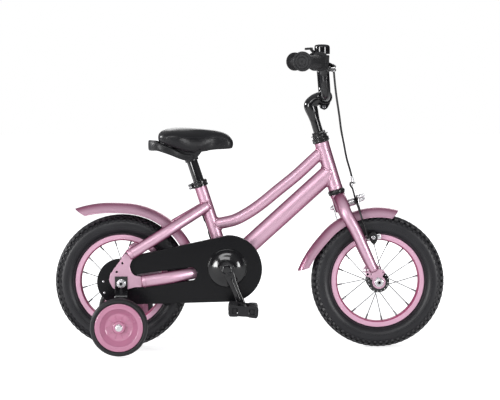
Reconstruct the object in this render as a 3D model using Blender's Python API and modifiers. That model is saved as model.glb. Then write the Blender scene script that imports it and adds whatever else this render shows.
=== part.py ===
"""A child's bicycle with stabiliser wheels, as separate pieces on real joints.

Metres, +Z up. The bicycle points along +X, its left side is +Y, and the origin is on the
ground, midway between the wheels. Right-hand pieces are at negative Y.
"""

import math

import bmesh
import bpy
from mathutils import Matrix, Vector

# Driving dimensions
GAP = 0.0003
SHARP_FROM = math.radians(35)
WHEEL_RADIUS = 0.155
HALF_WHEELBASE = 0.2975
TYRE_STEPS = 28
SPOKES = 16
SPOKE_RADIUS = 0.001
SPOKE_LEAN = math.radians(25)
SPOKE_REACH = 0.0939
REAR_AXLE = Vector((-HALF_WHEELBASE, 0, WHEEL_RADIUS))
FRONT_AXLE = Vector((HALF_WHEELBASE, 0, WHEEL_RADIUS))
AXLE_RADIUS = 0.0047
HUB_BORE = AXLE_RADIUS + 0.0006
REAR_DROPOUT = 0.060
FRONT_DROPOUT = 0.047
DROPOUT_THICKNESS = 0.0045
FENDER_SHEET = 0.0012

# Steering axis, from the bottom of the head tube upwards
HEAD_ANGLE = math.radians(17)
HEAD_BOTTOM = Vector((0.1998, 0, 0.3680))
HEAD_LENGTH = 0.1142
HEAD_RADIUS = 0.0165
HEAD_BORE = 0.0147
STEERER_RADIUS = 0.0127
STEERER_BORE = 0.0114
QUILL_RADIUS = 0.0111
BRAKE_DROP = 0.0400
BRAKE_HOLE = 0.0036
UP = Vector((-math.sin(HEAD_ANGLE), 0, math.cos(HEAD_ANGLE)))
AHEAD = Vector((math.cos(HEAD_ANGLE), 0, math.sin(HEAD_ANGLE)))

# Seat tube, from the bottom bracket upwards
BRACKET = Vector((-0.054, 0, 0.189))
SEAT_ANGLE = math.radians(18.23)
SEAT_UP = Vector((-math.sin(SEAT_ANGLE), 0, math.cos(SEAT_ANGLE)))
SEAT_TUBE_LENGTH = 0.2090
SEAT_TUBE_RADIUS = 0.0143
SEAT_TUBE_BORE = 0.0130
POST_RADIUS = 0.0127
POST_BORE = 0.0105
POST_LENGTH = 0.200
POST_SHOWN = 0.0627

# Saddle's grab handle: its rearmost point and its slope down to the front
HANDLE_BACK = Vector((-0.2325, 0, 0.4706))
HANDLE_SLOPE = math.radians(19)
HANDLE_HEIGHT = 0.0190
HANDLE_THICKNESS = 0.0056

# Frame tubes
DOWN_TUBE_HEIGHT = 0.042
DOWN_TUBE_WIDTH = 0.034
TOP_TUBE_RADIUS = 0.0139
SEAT_STAY_RADIUS = 0.0116
CHAIN_STAY_RADIUS = 0.0104
STAY_BRIDGE_RADIUS = 0.006
SHELL_RADIUS = 0.0200
SHELL_HALF_WIDTH = 0.034
SEAT_BRIDGE = Vector((-0.156, 0, 0.2955))
CHAIN_BRIDGE = Vector((-0.106, 0, 0.1788))

# Drive train
CHAIN_LINE = -0.0448
CHAIN_PITCH = 0.0127
CHAINRING_TEETH = 28
SPROCKET_TEETH = 16
CRANK_LENGTH = 0.095
CRANK_ANGLE = math.radians(22.5)
CRANK_INNER = 0.066
CRANK_THICKNESS = 0.012
PEDAL_INNER = 0.086
PEDAL_OUTER = 0.165
PEDAL_AXLE_RADIUS = 0.0048
PEDAL_BORE = PEDAL_AXLE_RADIUS + 0.0010
CASE_INNER = -0.0365
CASE_OUTER = -0.0530
CASE_WALL = 0.0016
CASE_FRONT = Vector((-0.0504, 0, 0.1868))
CASE_FRONT_RADIUS = 0.0777
CASE_REAR = Vector((-0.3002, 0, 0.1567))
CASE_REAR_RADIUS = 0.0537

# Stabilisers
STABILISER_RADIUS = 0.065
STABILISER_CLEARANCE = 0.004
STABILISER_CENTRE = STABILISER_RADIUS + STABILISER_CLEARANCE
STABILISER_TRACK = 0.186
STABILISER_HALF_WIDTH = 0.016

# Handlebar
BAR_RADIUS = 0.0111
CLAMP = Vector((0.1735, 0, 0.5827))
GRIP_START = Vector((0.157, 0.115, 0.6646))
GRIP_END = Vector((0.111, 0.225, 0.6646))
GRIP_RADIUS = 0.0138
GRIP_FLANGE = 0.0215
LEVER_AXIS = Vector((-0.475, 0, -0.880)).normalized()
LEVER_PIVOT = Vector((0.1862, -0.1050, 0.6501))
BELL = Vector((0.1722, 0.0950, 0.0))
BELL_STEM = 0.0060
BELL_LEVER_HEIGHT = 0.6811

# Front brake, ahead of the steering axis
CALIPER_AHEAD = {-1: 0.0365, 1: 0.0411}
CALIPER_THICKNESS = 0.0038


def clear_scene():
    for old in list(bpy.data.objects):
        bpy.data.objects.remove(old, do_unlink=True)


def new_collection(name, hidden=False):
    made = bpy.data.collections.new(name)
    bpy.context.scene.collection.children.link(made)
    made.hide_render = hidden
    return made


clear_scene()
PARTS = new_collection("kids_bike")
HELPERS = new_collection("cutters", hidden=True)


def paint(name, colour, roughness, metallic):
    """A plain Principled material."""
    made = bpy.data.materials.new(name)
    made.use_nodes = True
    shader = made.node_tree.nodes["Principled BSDF"]
    shader.inputs["Base Color"].default_value = (*colour, 1)
    shader.inputs["Roughness"].default_value = roughness
    shader.inputs["Metallic"].default_value = metallic
    return made


PINK_PAINT = paint("pink_paint", (0.64, 0.36, 0.50), 0.35, 0.55)
PINK_RIM = paint("pink_rim", (0.70, 0.42, 0.56), 0.45, 0.10)
PINK_PLASTIC = paint("pink_plastic", (0.60, 0.22, 0.36), 0.50, 0.0)
BLACK_PAINT = paint("black_paint", (0.018, 0.018, 0.020), 0.35, 0.0)
BLACK_PLASTIC = paint("black_plastic", (0.020, 0.020, 0.022), 0.45, 0.0)
BLACK_RUBBER = paint("black_rubber", (0.022, 0.022, 0.024), 0.75, 0.0)
BLACK_VINYL = paint("black_vinyl", (0.022, 0.022, 0.024), 0.55, 0.0)
STEEL = paint("steel", (0.55, 0.56, 0.58), 0.30, 1.0)


def keep(name, data, material, place=None):
    """A new object from mesh or curve data, placed by a world matrix."""
    obj = bpy.data.objects.new(name, data)
    data.materials.clear()
    data.materials.append(material)
    PARTS.objects.link(obj)
    if place is not None:
        obj.matrix_world = place
    return obj


def as_mesh(obj):
    """Swaps an object for a plain mesh of what it evaluates to."""
    bpy.context.view_layer.update()
    graph = bpy.context.evaluated_depsgraph_get()
    data = bpy.data.meshes.new_from_object(obj.evaluated_get(graph))
    shape = bmesh.new()
    shape.from_mesh(data)
    bmesh.ops.remove_doubles(shape, verts=shape.verts, dist=1e-6)
    shape.to_mesh(data)
    shape.free()
    name, place, home = obj.name, obj.matrix_world.copy(), obj.users_collection[0]
    bpy.data.objects.remove(obj, do_unlink=True)
    made = bpy.data.objects.new(name, data)
    home.objects.link(made)
    made.matrix_world = place
    return made


def smooth(obj):
    """Shades an object smooth, but for its sharp edges."""
    obj.data.shade_smooth()
    obj.data.set_sharp_from_angle(angle=SHARP_FROM)
    return obj


def facing(direction, centre=(0, 0, 0)):
    """A matrix that puts local +Z on the direction and, where it has no Y, local X across."""
    return Matrix.Translation(centre) @ Vector(direction).to_track_quat("Z", "Y").to_matrix().to_4x4()


def across(centre, turn=0.0):
    """A matrix that puts local +Z on world +Y and local +X on world +X."""
    spin = Matrix.Rotation(turn, 4, "Y") @ Matrix.Rotation(-math.pi / 2, 4, "X")
    return Matrix.Translation(centre) @ spin


def upright(centre):
    """A matrix for a flat outline: its (x, y) on world (X, Z), its thickness along Y."""
    return Matrix.Translation(centre) @ Matrix.Rotation(math.pi / 2, 4, "X")


def turned(name, profile, material, place, steps=12, closed=False):
    """A profile of (radius, height), top to bottom down its outer side, spun about local Z."""
    shape = bmesh.new()
    corners = [shape.verts.new((radius, 0, height)) for radius, height in profile]
    for first, second in zip(corners, corners[1:]):
        shape.edges.new((first, second))
    if closed:
        shape.edges.new((corners[-1], corners[0]))
    data = bpy.data.meshes.new(name)
    shape.to_mesh(data)
    shape.free()
    obj = keep(name, data, material, place)
    screw = obj.modifiers.new("Screw", "SCREW")
    screw.steps = screw.render_steps = steps
    screw.use_merge_vertices = True
    screw.merge_threshold = 0.00001
    return smooth(as_mesh(obj))


def rod(name, radius, start, end, material, steps=12):
    """A solid round bar from start to end."""
    start, end = Vector(start), Vector(end)
    length = (end - start).length
    profile = [(0, length), (radius, length), (radius, 0), (0, 0)]
    return turned(name, profile, material, facing(end - start, start), steps)


def ring(name, outer, inner, start, end, material, steps=12):
    """A round sleeve from start to end."""
    start, end = Vector(start), Vector(end)
    length = (end - start).length
    profile = [(inner, length), (outer, length), (outer, 0), (inner, 0)]
    return turned(name, profile, material, facing(end - start, start), steps, closed=True)


def box(name, size, material, place):
    """A box with its middle at the origin of its place."""
    shape = bmesh.new()
    bmesh.ops.create_cube(shape, size=1, matrix=Matrix.Diagonal((*size, 1)))
    data = bpy.data.meshes.new(name)
    shape.to_mesh(data)
    shape.free()
    return keep(name, data, material, place)


def flowing(points, per_stretch=4):
    """Points read from a smooth curve through the given ones (Catmull-Rom)."""
    points = [Vector(point) for point in points]
    padded = [2 * points[0] - points[1], *points, 2 * points[-1] - points[-2]]
    found = []
    for i in range(1, len(padded) - 2):
        before, here, there, after = padded[i - 1 : i + 3]
        for step in range(per_stretch):
            t = step / per_stretch
            found.append(
                0.5
                * (
                    2 * here
                    + (there - before) * t
                    + (2 * before - 5 * here + 4 * there - after) * t**2
                    + (3 * here - before - 3 * there + after) * t**3
                )
            )
    return [*found, points[-1]]


def tube(name, points, radius, material, resolution=4, end_radius=None):
    """A round bar along the points, with filled caps, tapering evenly to end_radius."""
    curve = bpy.data.curves.new(name, "CURVE")
    curve.dimensions = "3D"
    curve.bevel_depth = radius
    curve.bevel_resolution = resolution
    curve.use_fill_caps = True
    line = curve.splines.new("POLY")
    line.points.add(len(points) - 1)
    for i, (point, corner) in enumerate(zip(line.points, points)):
        point.co = (*corner, 1)
        if end_radius is not None:
            point.radius = 1 + (end_radius / radius - 1) * i / (len(points) - 1)
    return smooth(as_mesh(keep(name, curve, material)))


def plate(name, outlines, thickness, material, place):
    """A flat plate of closed outlines, the later ones holes, its thickness centred."""
    curve = bpy.data.curves.new(name, "CURVE")
    curve.dimensions = "2D"
    curve.fill_mode = "BOTH"
    curve.extrude = thickness / 2
    for outline in outlines:
        line = curve.splines.new("POLY")
        line.use_cyclic_u = True
        line.points.add(len(outline) - 1)
        for point, corner in zip(line.points, outline):
            point.co = (*corner, 0, 1)
    return smooth(as_mesh(keep(name, curve, material, place)))


def circle(centre, radius, count=16, start=0.0, end=2 * math.pi):
    """Points of a circle, or of an arc when start and end are given."""
    whole = abs(end - start - 2 * math.pi) < 1e-9
    steps = count if whole else count - 1
    turns = [start + (end - start) * i / steps for i in range(count)]
    return [(centre[0] + radius * math.cos(a), centre[1] + radius * math.sin(a)) for a in turns]


def belt(front, front_radius, rear, rear_radius, grow=0.0, count=12):
    """The outline in (X, Z) of a belt round two discs, counted anticlockwise."""
    front_2d, rear_2d = Vector((front.x, front.z)), Vector((rear.x, rear.z))
    line = front_2d - rear_2d
    lean = math.acos((front_radius - rear_radius) / line.length)
    base = math.atan2(line.y, line.x)
    first = circle(front_2d, front_radius + grow, count, base - lean, base + lean)
    last = circle(rear_2d, rear_radius + grow, count, base + lean, base + 2 * math.pi - lean)
    return first + last


def ribbon(points, thickness):
    """The outline of a bent strip: the line of its middle, offset to both sides."""
    points = [Vector(point) for point in points]
    normals = []
    for i in range(len(points)):
        before = points[max(i - 1, 0)]
        after = points[min(i + 1, len(points) - 1)]
        along = (after - before).normalized()
        normals.append(Vector((-along.y, along.x)))
    one_side = [tuple(point + normal * thickness / 2) for point, normal in zip(points, normals)]
    other_side = [tuple(point - normal * thickness / 2) for point, normal in zip(points, normals)]
    return one_side + list(reversed(other_side))


def put_away(obj):
    """Makes an object a hidden helper."""
    for home in list(obj.users_collection):
        home.objects.unlink(obj)
    HELPERS.objects.link(obj)
    obj.hide_render = True
    obj.display_type = "WIRE"


def combine(obj, others, operation):
    """One Boolean of the object with each of the others, which become hidden helpers."""
    for other in others:
        put_away(other)
        step = obj.modifiers.new(operation.lower(), "BOOLEAN")
        step.operation = operation
        step.solver = "EXACT"
        step.object = other
    return obj


def fused(name, pieces, cuts=()):
    """The pieces as one solid, with the cuts taken away."""
    whole = pieces[0]
    combine(whole, pieces[1:], "UNION")
    combine(whole, cuts, "DIFFERENCE")
    made = smooth(as_mesh(whole))
    made.name = name
    return made


def head(along, ahead=0.0, side=0.0):
    """A point given along the steering axis, ahead of it and to the side."""
    return HEAD_BOTTOM + UP * along + AHEAD * ahead + Vector((0, side, 0))


def seat(along, ahead=0.0, side=0.0):
    """A point given along the seat tube, ahead of it and to the side."""
    square = Vector((SEAT_UP.z, 0, -SEAT_UP.x))
    return BRACKET + SEAT_UP * along + square * ahead + Vector((0, side, 0))


def at_side(centre, y):
    return Vector((centre.x, y, centre.z))


def at_height(centre, z):
    return Vector((centre.x, centre.y, z))


POST_TOP = SEAT_TUBE_LENGTH + POST_SHOWN
SADDLE_PIVOT = seat(POST_TOP + 0.0125)


# Wheels


def tyre(name, centre, half, material, steps):
    """A solid tyre, turned half a step so that it stands on a flat facet."""
    profile = half + [(radius, -width) for radius, width in reversed(half)]
    return turned(name, profile, material, across(centre, math.pi / steps), steps, closed=True)


def bicycle_tyre(name, centre):
    crown = WHEEL_RADIUS / math.cos(math.pi / TYRE_STEPS)
    half = [
        (0.1018, 0.0095),
        (0.1088, 0.0105),
        (0.1180, 0.0240),
        (0.1350, 0.0270),
        (0.1500, 0.0205),
        (crown, 0.0090),
    ]
    return tyre(name, centre, half, BLACK_RUBBER, TYRE_STEPS)


def rim(name, centre):
    """A hooked rim: two walls that hold the tyre, a floor, and a crown that the spokes reach."""
    half = [(0.0985, 0.0135), (0.1083, 0.0135), (0.1083, 0.0118), (0.1015, 0.0105)]
    back = [(radius, -width) for radius, width in reversed(half)]
    profile = half + back + [(0.0950, -0.0080), (0.0950, 0.0080)]
    place = across(centre, math.pi / TYRE_STEPS)
    return turned(name, profile, PINK_RIM, place, TYRE_STEPS, closed=True)


def hub(name, centre, shell, flange, phase):
    """A hub shell with its laced spokes, each leaning to one side of its flange."""
    pieces = [turned(name, shell, BLACK_PAINT, across(centre), closed=True)]
    for k in range(SPOKES):
        side = -1 if k % 2 == 0 else 1
        lean = -1 if k % 4 < 2 else 1
        at_rim = phase + 2 * math.pi * k / SPOKES
        at_hub = at_rim + lean * SPOKE_LEAN
        inner = Vector((math.cos(at_hub), 0, math.sin(at_hub))) * (flange[0] - 0.003)
        inner.y = side * (flange[1] + lean * 0.0011)
        outer = Vector((math.cos(at_rim), 0, math.sin(at_rim))) * SPOKE_REACH
        outer.y = side * 0.0025
        ends = [centre + inner, centre + outer]
        pieces.append(tube(f"{name}_spoke_{k}", ends, SPOKE_RADIUS, STEEL, resolution=0))
    return fused(name, pieces)


def rear_wheel():
    shell = [
        (HUB_BORE, 0.0420),
        (0.0130, 0.0420),
        (0.0150, 0.0310),
        (0.0285, 0.0300),
        (0.0285, 0.0260),
        (0.0200, 0.0250),
        (0.0200, -0.0250),
        (0.0285, -0.0260),
        (0.0285, -0.0300),
        (0.0150, -0.0310),
        (0.0130, -0.0355),
        (HUB_BORE, -0.0355),
    ]
    return [
        bicycle_tyre("rear_tyre", REAR_AXLE),
        rim("rear_rim", REAR_AXLE),
        hub("rear_hub", REAR_AXLE, shell, (0.0285, 0.0280), math.radians(10)),
    ]


def front_wheel():
    half = [(HUB_BORE, 0.0385), (0.0100, 0.0385), (0.0110, 0.0345), (0.0255, 0.0340)]
    half += [(0.0255, 0.0300), (0.0120, 0.0290)]
    shell = half + [(radius, -width) for radius, width in reversed(half)]
    return [
        bicycle_tyre("front_tyre", FRONT_AXLE),
        rim("front_rim", FRONT_AXLE),
        hub("front_hub", FRONT_AXLE, shell, (0.0255, 0.0320), math.radians(6.4)),
    ]


def axle(name, centre, collars, half_length):
    """A threaded axle with its cones, given as (from, to, radius) along Y from left to right."""
    profile = [(0, half_length), (AXLE_RADIUS, half_length)]
    for high, low, radius in collars:
        profile += [(AXLE_RADIUS, high), (radius, high), (radius, low), (AXLE_RADIUS, low)]
    profile += [(AXLE_RADIUS, -half_length), (0, -half_length)]
    return turned(name, profile, STEEL, across(centre))


def hexagon_nut(name, centre, across_flats, thickness):
    outlines = [circle((0, 0), across_flats / math.sqrt(3), 6), circle((0, 0), HUB_BORE, 12)]
    return plate(name, outlines, thickness, STEEL, upright(centre))


def axle_nuts(name, centre, seat_at):
    """Both nuts of an axle, with a washer gap to what they clamp."""
    made = []
    for side, word in ((-1, "right"), (1, "left")):
        middle = centre + Vector((0, side * (seat_at + 0.0045), 0))
        made.append(hexagon_nut(f"{name}_nut_{word}", middle, 0.015, 0.008))
    return made


# Frame


def oval_bar(name, high, wide, start, end, material):
    """A straight bar of oval section, its height in the bicycle's own plane."""
    shape = bmesh.new()
    bmesh.ops.create_cone(
        shape, cap_ends=True, segments=14, radius1=1, radius2=1, depth=(end - start).length
    )
    shape.transform(Matrix.Diagonal((high / 2, wide / 2, 1, 1)))
    data = bpy.data.meshes.new(name)
    shape.to_mesh(data)
    shape.free()
    along = (end - start).normalized()
    sideways = Vector((0, 1, 0))
    spin = Matrix((sideways.cross(along), sideways, along)).transposed().to_4x4()
    return smooth(keep(name, data, material, Matrix.Translation((start + end) / 2) @ spin))


def seat_stay(side):
    word = "left" if side > 0 else "right"
    points = [
        (-0.2771, 0.0640, 0.2212),
        (-0.2300, 0.0590, 0.2501),
        (-0.1860, 0.0490, 0.2771),
        (-0.1500, 0.0320, 0.2992),
        (-0.1164, 0.0165, 0.3198),
        (-0.1015, 0.0090, 0.3290),
    ]
    route = flowing([(x, side * y, z) for x, y, z in points], 1)
    return tube(f"seat_stay_{word}", route, SEAT_STAY_RADIUS, PINK_PAINT, resolution=2)


def chain_stay(side):
    word = "left" if side > 0 else "right"
    points = [
        (-0.0620, 0.0180, 0.1850),
        (-0.1120, 0.0248, 0.1780),
        (-0.1500, 0.0402, 0.1728),
        (-0.1900, 0.0535, 0.1668),
        (-0.2482, 0.0640, 0.1592),
    ]
    route = flowing([(x, side * y, z) for x, y, z in points], 1)
    return tube(f"chain_stay_{word}", route, CHAIN_STAY_RADIUS, PINK_PAINT, resolution=2)


def dropout(side):
    """A rear frame end, cut to a hook shape round the axle."""
    word = "left" if side > 0 else "right"
    outline = [
        (-0.2885, 0.2235),
        (-0.3231, 0.1755),
        (-0.3254, 0.1600),
        (-0.3161, 0.1430),
        (-0.3000, 0.1385),
        (-0.2804, 0.1420),
        (-0.2655, 0.1462),
        (-0.2500, 0.1462),
        (-0.2500, 0.1705),
        (-0.2660, 0.1722),
        (-0.2750, 0.1815),
        (-0.2781, 0.1950),
        (-0.2745, 0.2050),
        (-0.2690, 0.2130),
    ]
    middle = side * (REAR_DROPOUT + DROPOUT_THICKNESS / 2)
    hole = circle((REAR_AXLE.x, REAR_AXLE.z), HUB_BORE, 12)
    place = upright((0, middle, 0))
    return plate(f"dropout_{word}", [outline, hole], DROPOUT_THICKNESS, PINK_PAINT, place)


def frame():
    """The welded frame. Its tubes end inside one another, then the bores are cut."""
    top_tube = [
        (-0.0866, 0, 0.2850),
        (-0.0722, 0, 0.2881),
        (-0.0349, 0, 0.2969),
        (-0.0047, 0, 0.3125),
        (0.0247, 0, 0.3326),
        (0.0629, 0, 0.3638),
        (0.1106, 0, 0.4027),
        (0.1514, 0, 0.4406),
        (0.1690, 0, 0.4560),
    ]
    down_tube = (Vector((-0.0540, 0, 0.1900)), Vector((0.1860, 0, 0.4078)))
    half = Vector((0, SHELL_HALF_WIDTH, 0))
    seat_half, chain_half = Vector((0, 0.034, 0)), Vector((0, 0.022, 0))
    seat_bridge = (SEAT_BRIDGE - seat_half, SEAT_BRIDGE + seat_half)
    chain_bridge = (CHAIN_BRIDGE - chain_half, CHAIN_BRIDGE + chain_half)
    pieces = [
        rod("frame", HEAD_RADIUS, head(0), head(HEAD_LENGTH), PINK_PAINT, 16),
        oval_bar("down_tube", DOWN_TUBE_HEIGHT, DOWN_TUBE_WIDTH, *down_tube, PINK_PAINT),
        tube("top_tube", flowing(top_tube, 1), TOP_TUBE_RADIUS, PINK_PAINT, resolution=3),
        rod("seat_tube", SEAT_TUBE_RADIUS, seat(0), seat(SEAT_TUBE_LENGTH), PINK_PAINT, 16),
        rod("bracket_shell", SHELL_RADIUS, BRACKET - half, BRACKET + half, PINK_PAINT, 20),
        rod("seat_bridge", STAY_BRIDGE_RADIUS, *seat_bridge, PINK_PAINT, 8),
        rod("chain_bridge", STAY_BRIDGE_RADIUS, *chain_bridge, PINK_PAINT, 8),
    ]
    for side in (-1, 1):
        pieces += [seat_stay(side), chain_stay(side), dropout(side)]
    longer = Vector((0, 0.040, 0))
    cuts = [
        rod("bracket_bore", 0.0178, BRACKET - longer, BRACKET + longer, STEEL, 18),
        rod("head_bore", HEAD_BORE, head(-0.01), head(HEAD_LENGTH + 0.01), STEEL, 18),
        rod("seat_bore", SEAT_TUBE_BORE, seat(0.024), seat(SEAT_TUBE_LENGTH + 0.01), STEEL),
    ]
    return fused("frame", pieces, cuts)


def headset_cup(name, reach, radius, skirt_reach):
    """A bearing cup with the skirt that is pressed into the head tube, each from low to high."""
    bore, skirt = 0.0133, 0.0139
    pieces = [
        ring(name, radius, bore, head(reach[0]), head(reach[1]), BLACK_PAINT),
        ring("skirt", skirt, bore, head(skirt_reach[0]), head(skirt_reach[1]), BLACK_PAINT),
    ]
    return fused(name, pieces)


def bottom_bracket():
    half = [(0.0085, 0.0360), (0.0200, 0.0360), (0.0200, 0.0343), (0.0172, 0.0343)]
    profile = half + [(radius, -width) for radius, width in reversed(half)]
    return turned("bottom_bracket", profile, STEEL, across(BRACKET), closed=True)


def seat_clamp():
    """A collar round the top of the seat tube, with two ears that its bolt draws together."""
    low, middle, top = SEAT_TUBE_LENGTH - 0.0140, SEAT_TUBE_LENGTH - 0.0070, SEAT_TUBE_LENGTH
    ears = facing(SEAT_UP, seat(middle, -0.0205))
    slit = facing(SEAT_UP, seat(middle, -0.0210))
    bolt = (seat(middle, -0.0225, -0.0105), seat(middle, -0.0225, 0.0105))
    pieces = [
        ring("seat_clamp", 0.0185, 0.0148, seat(low), seat(top), BLACK_PAINT, 16),
        box("ears", (0.0130, 0.0110, 0.0120), BLACK_PAINT, ears),
        rod("clamp_bolt", 0.0036, *bolt, STEEL, 10),
    ]
    return fused("seat_clamp", pieces, [box("slit", (0.0020, 0.0150, 0.0200), STEEL, slit)])


# Drive


def pitch_radius(teeth):
    return CHAIN_PITCH / (2 * math.sin(math.pi / teeth))


def toothed(name, teeth, centre, hole):
    """A flat sprocket plate with pointed teeth."""
    outline = []
    pitch_angle = 2 * math.pi / teeth
    for k in range(teeth):
        for share, grow in ((-0.50, -0.0044), (0, 0.0026)):
            angle = (k + share) * pitch_angle
            reach = pitch_radius(teeth) + grow
            outline.append((reach * math.cos(angle), reach * math.sin(angle)))
    outlines = [outline, circle((0, 0), hole, 12)]
    return plate(name, outlines, 0.0022, STEEL, upright(centre))


def chainring():
    plate_at = at_side(BRACKET, CHAIN_LINE)
    pieces = [
        toothed("chainring", CHAINRING_TEETH, plate_at, 0.0100),
        ring("boss", 0.0115, 0.0085, at_side(BRACKET, -0.0420), at_side(BRACKET, -0.0655), STEEL),
    ]
    return fused("chainring", pieces)


def rear_sprocket():
    plate_at = at_side(REAR_AXLE, CHAIN_LINE)
    driver = (at_side(REAR_AXLE, -0.0360), at_side(REAR_AXLE, -0.0490))
    pieces = [
        toothed("rear_sprocket", SPROCKET_TEETH, plate_at, 0.0110),
        ring("driver", 0.0160, 0.0055, *driver, STEEL),
    ]
    return fused("rear_sprocket", pieces)


def chain():
    """The whole chain as one closed loop, with a groove that the teeth run in."""
    front, rear = pitch_radius(CHAINRING_TEETH), pitch_radius(SPROCKET_TEETH)
    place = upright((0, CHAIN_LINE, 0))
    loops = [belt(BRACKET, front, REAR_AXLE, rear, grow, 9) for grow in (0.0052, -0.0030)]
    groove = [belt(BRACKET, front, REAR_AXLE, rear, grow, 9) for grow in (0.0040, -0.0060)]
    cut = plate("groove", groove, 0.0034, STEEL, place)
    return fused("chain", [plate("chain", loops, 0.0068, STEEL, place)], [cut])


def case_slot(thickness, y, front):
    """The long slot that lets the chain stay pass inside the chain loop."""
    outline = belt(front, 0.0155, Vector((-0.2520, 0, 0.1606)), 0.0155, 0, 7)
    return plate("slot", [outline], thickness, STEEL, upright((0, y, 0)))


def case_half(name, face, rim_at, slot_front, holes):
    """A pressed half of the chain case: a face, a rim towards the other half, and holes."""
    inward = 1 if rim_at > face else -1
    depth = abs(rim_at - face)
    around = (CASE_FRONT, CASE_FRONT_RADIUS, CASE_REAR, CASE_REAR_RADIUS)
    middle = (face + rim_at) / 2
    shell = plate(name, [belt(*around, 0, 11)], depth, BLACK_PLASTIC, upright((0, middle, 0)))
    hollow_at = upright((0, middle + inward * CASE_WALL, 0))
    hollow = plate("hollow", [belt(*around, -CASE_WALL, 11)], depth, STEEL, hollow_at)
    cuts = [hollow, case_slot(4 * depth, middle, slot_front)]
    for centre, radius in holes:
        ends = (at_side(centre, face - 0.02), at_side(centre, face + 0.02))
        cuts.append(rod("hole", radius, *ends, STEEL))
    return shell, cuts


def chain_case():
    split = (CASE_INNER + CASE_OUTER) / 2
    front = Vector((-0.1385, 0, 0.1752))
    holes = [(BRACKET, 0.0135), (REAR_AXLE, 0.0062)]
    outer, cuts = case_half("chain_case_outer", CASE_OUTER, split - GAP / 2, front, holes)
    dome = [(0.0135, 0.0065), (0.0220, 0.0060), (0.0320, 0.0010), (0.0320, -0.0008), (0.0135, -0.0008)]
    dome_at = Matrix.Translation(at_side(BRACKET, CASE_OUTER)) @ Matrix.Rotation(math.pi / 2, 4, "X")
    raised = turned("dome", dome, BLACK_PLASTIC, dome_at, 14, closed=True)
    whole = fused("chain_case_outer", [fused("chain_case_outer", [outer], cuts), raised])
    front = Vector((-0.1270, 0, 0.1765))
    holes = [(BRACKET, 0.0150), (REAR_AXLE, 0.0190)]
    inner, cuts = case_half("chain_case_inner", CASE_INNER, split + GAP / 2, front, holes)
    return [whole, fused("chain_case_inner", [inner], cuts)]


def pedal_centre(side):
    """The pedal axle's end of a crank: the right one hangs ahead, the left one stands behind."""
    lean = Vector((math.sin(CRANK_ANGLE), 0, -math.cos(CRANK_ANGLE)))
    return BRACKET - side * lean * CRANK_LENGTH


def crank(name, side):
    """A crank arm with its blind square end as a round bore, and its pedal eye."""
    centre, far = BRACKET, pedal_centre(side)
    middle = side * (CRANK_INNER + CRANK_THICKNESS / 2)
    outline = belt(far, 0.0090, centre, 0.0125, 0, 8)
    if far.x < centre.x:
        outline = belt(centre, 0.0125, far, 0.0090, 0, 8)
    face = side * (CRANK_INNER + CRANK_THICKNESS)
    inner = side * CRANK_INNER
    boss = (at_side(centre, inner + side * 0.0005), at_side(centre, face + side * 0.001))
    pieces = [
        plate(name, [outline], CRANK_THICKNESS, BLACK_PAINT, upright((0, middle, 0))),
        rod("end_boss", 0.0172, *boss, BLACK_PAINT, 16),
    ]
    blind = (at_side(centre, inner - side * 0.01), at_side(centre, side * 0.0742))
    through = (at_side(far, inner - side * 0.01), at_side(far, face + side * 0.01))
    cuts = [rod("axle_bore", 0.0085, *blind, STEEL), rod("pedal_bore", 0.0056, *through, STEEL)]
    return fused(name, pieces, cuts)


def pedal_axle(name, side):
    """A pedal axle with the collar that a spanner grips."""
    far = pedal_centre(side)
    shaft, collar = PEDAL_AXLE_RADIUS, 0.0080
    profile = [
        (0, 0.1585),
        (shaft, 0.1585),
        (shaft, 0.0855),
        (collar, 0.0855),
        (collar, 0.0785),
        (shaft, 0.0785),
        (shaft, CRANK_INNER),
        (0, CRANK_INNER),
    ]
    place = facing((0, side, 0), at_side(far, 0))
    return turned(name, profile, STEEL, place)


def pedal(name, side):
    """A block pedal with ribbed treads, free to spin on its axle."""
    far = pedal_centre(side)
    length, height = 0.068, 0.027
    grooves, groove, flank = 7, 0.0022, 0.0014
    top = []
    for k in range(grooves):
        middle = (2 * k / (grooves - 1) - 1) * (length / 2 - 0.0080)
        top += [(middle - flank, height / 2), (middle, height / 2 - groove), (middle + flank, height / 2)]
    lower = [(x, -z) for x, z in reversed(top)]
    low_edge, edge = height / 2 - 0.0060, length / 2 - 0.0030
    ends = [(edge, height / 2), (length / 2, low_edge), (length / 2, -low_edge), (edge, -height / 2)]
    rear_ends = [(-x, z) for x, z in reversed(ends)]
    outline = top + ends + lower + rear_ends
    turn = math.radians(-4) if side < 0 else SEAT_ANGLE - math.pi / 2
    middle = Matrix.Translation(at_side(far, side * (PEDAL_INNER + PEDAL_OUTER) / 2))
    place = middle @ Matrix.Rotation(-turn, 4, "Y") @ Matrix.Rotation(math.pi / 2, 4, "X")
    block = plate(name, [outline], PEDAL_OUTER - PEDAL_INNER, BLACK_PLASTIC, place)
    bore = rod("bore", PEDAL_BORE, at_side(far, side * 0.080), at_side(far, side * 0.1600), STEEL)
    return fused(name, [block], [bore])


# Stabilisers


def along_x(centre):
    """A matrix for a flat outline in (Y, Z), its thickness along X."""
    return Matrix.Translation(centre) @ Matrix(((0, 0, 1, 0), (1, 0, 0, 0), (0, 1, 0, 0), (0, 0, 0, 1)))


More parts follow.
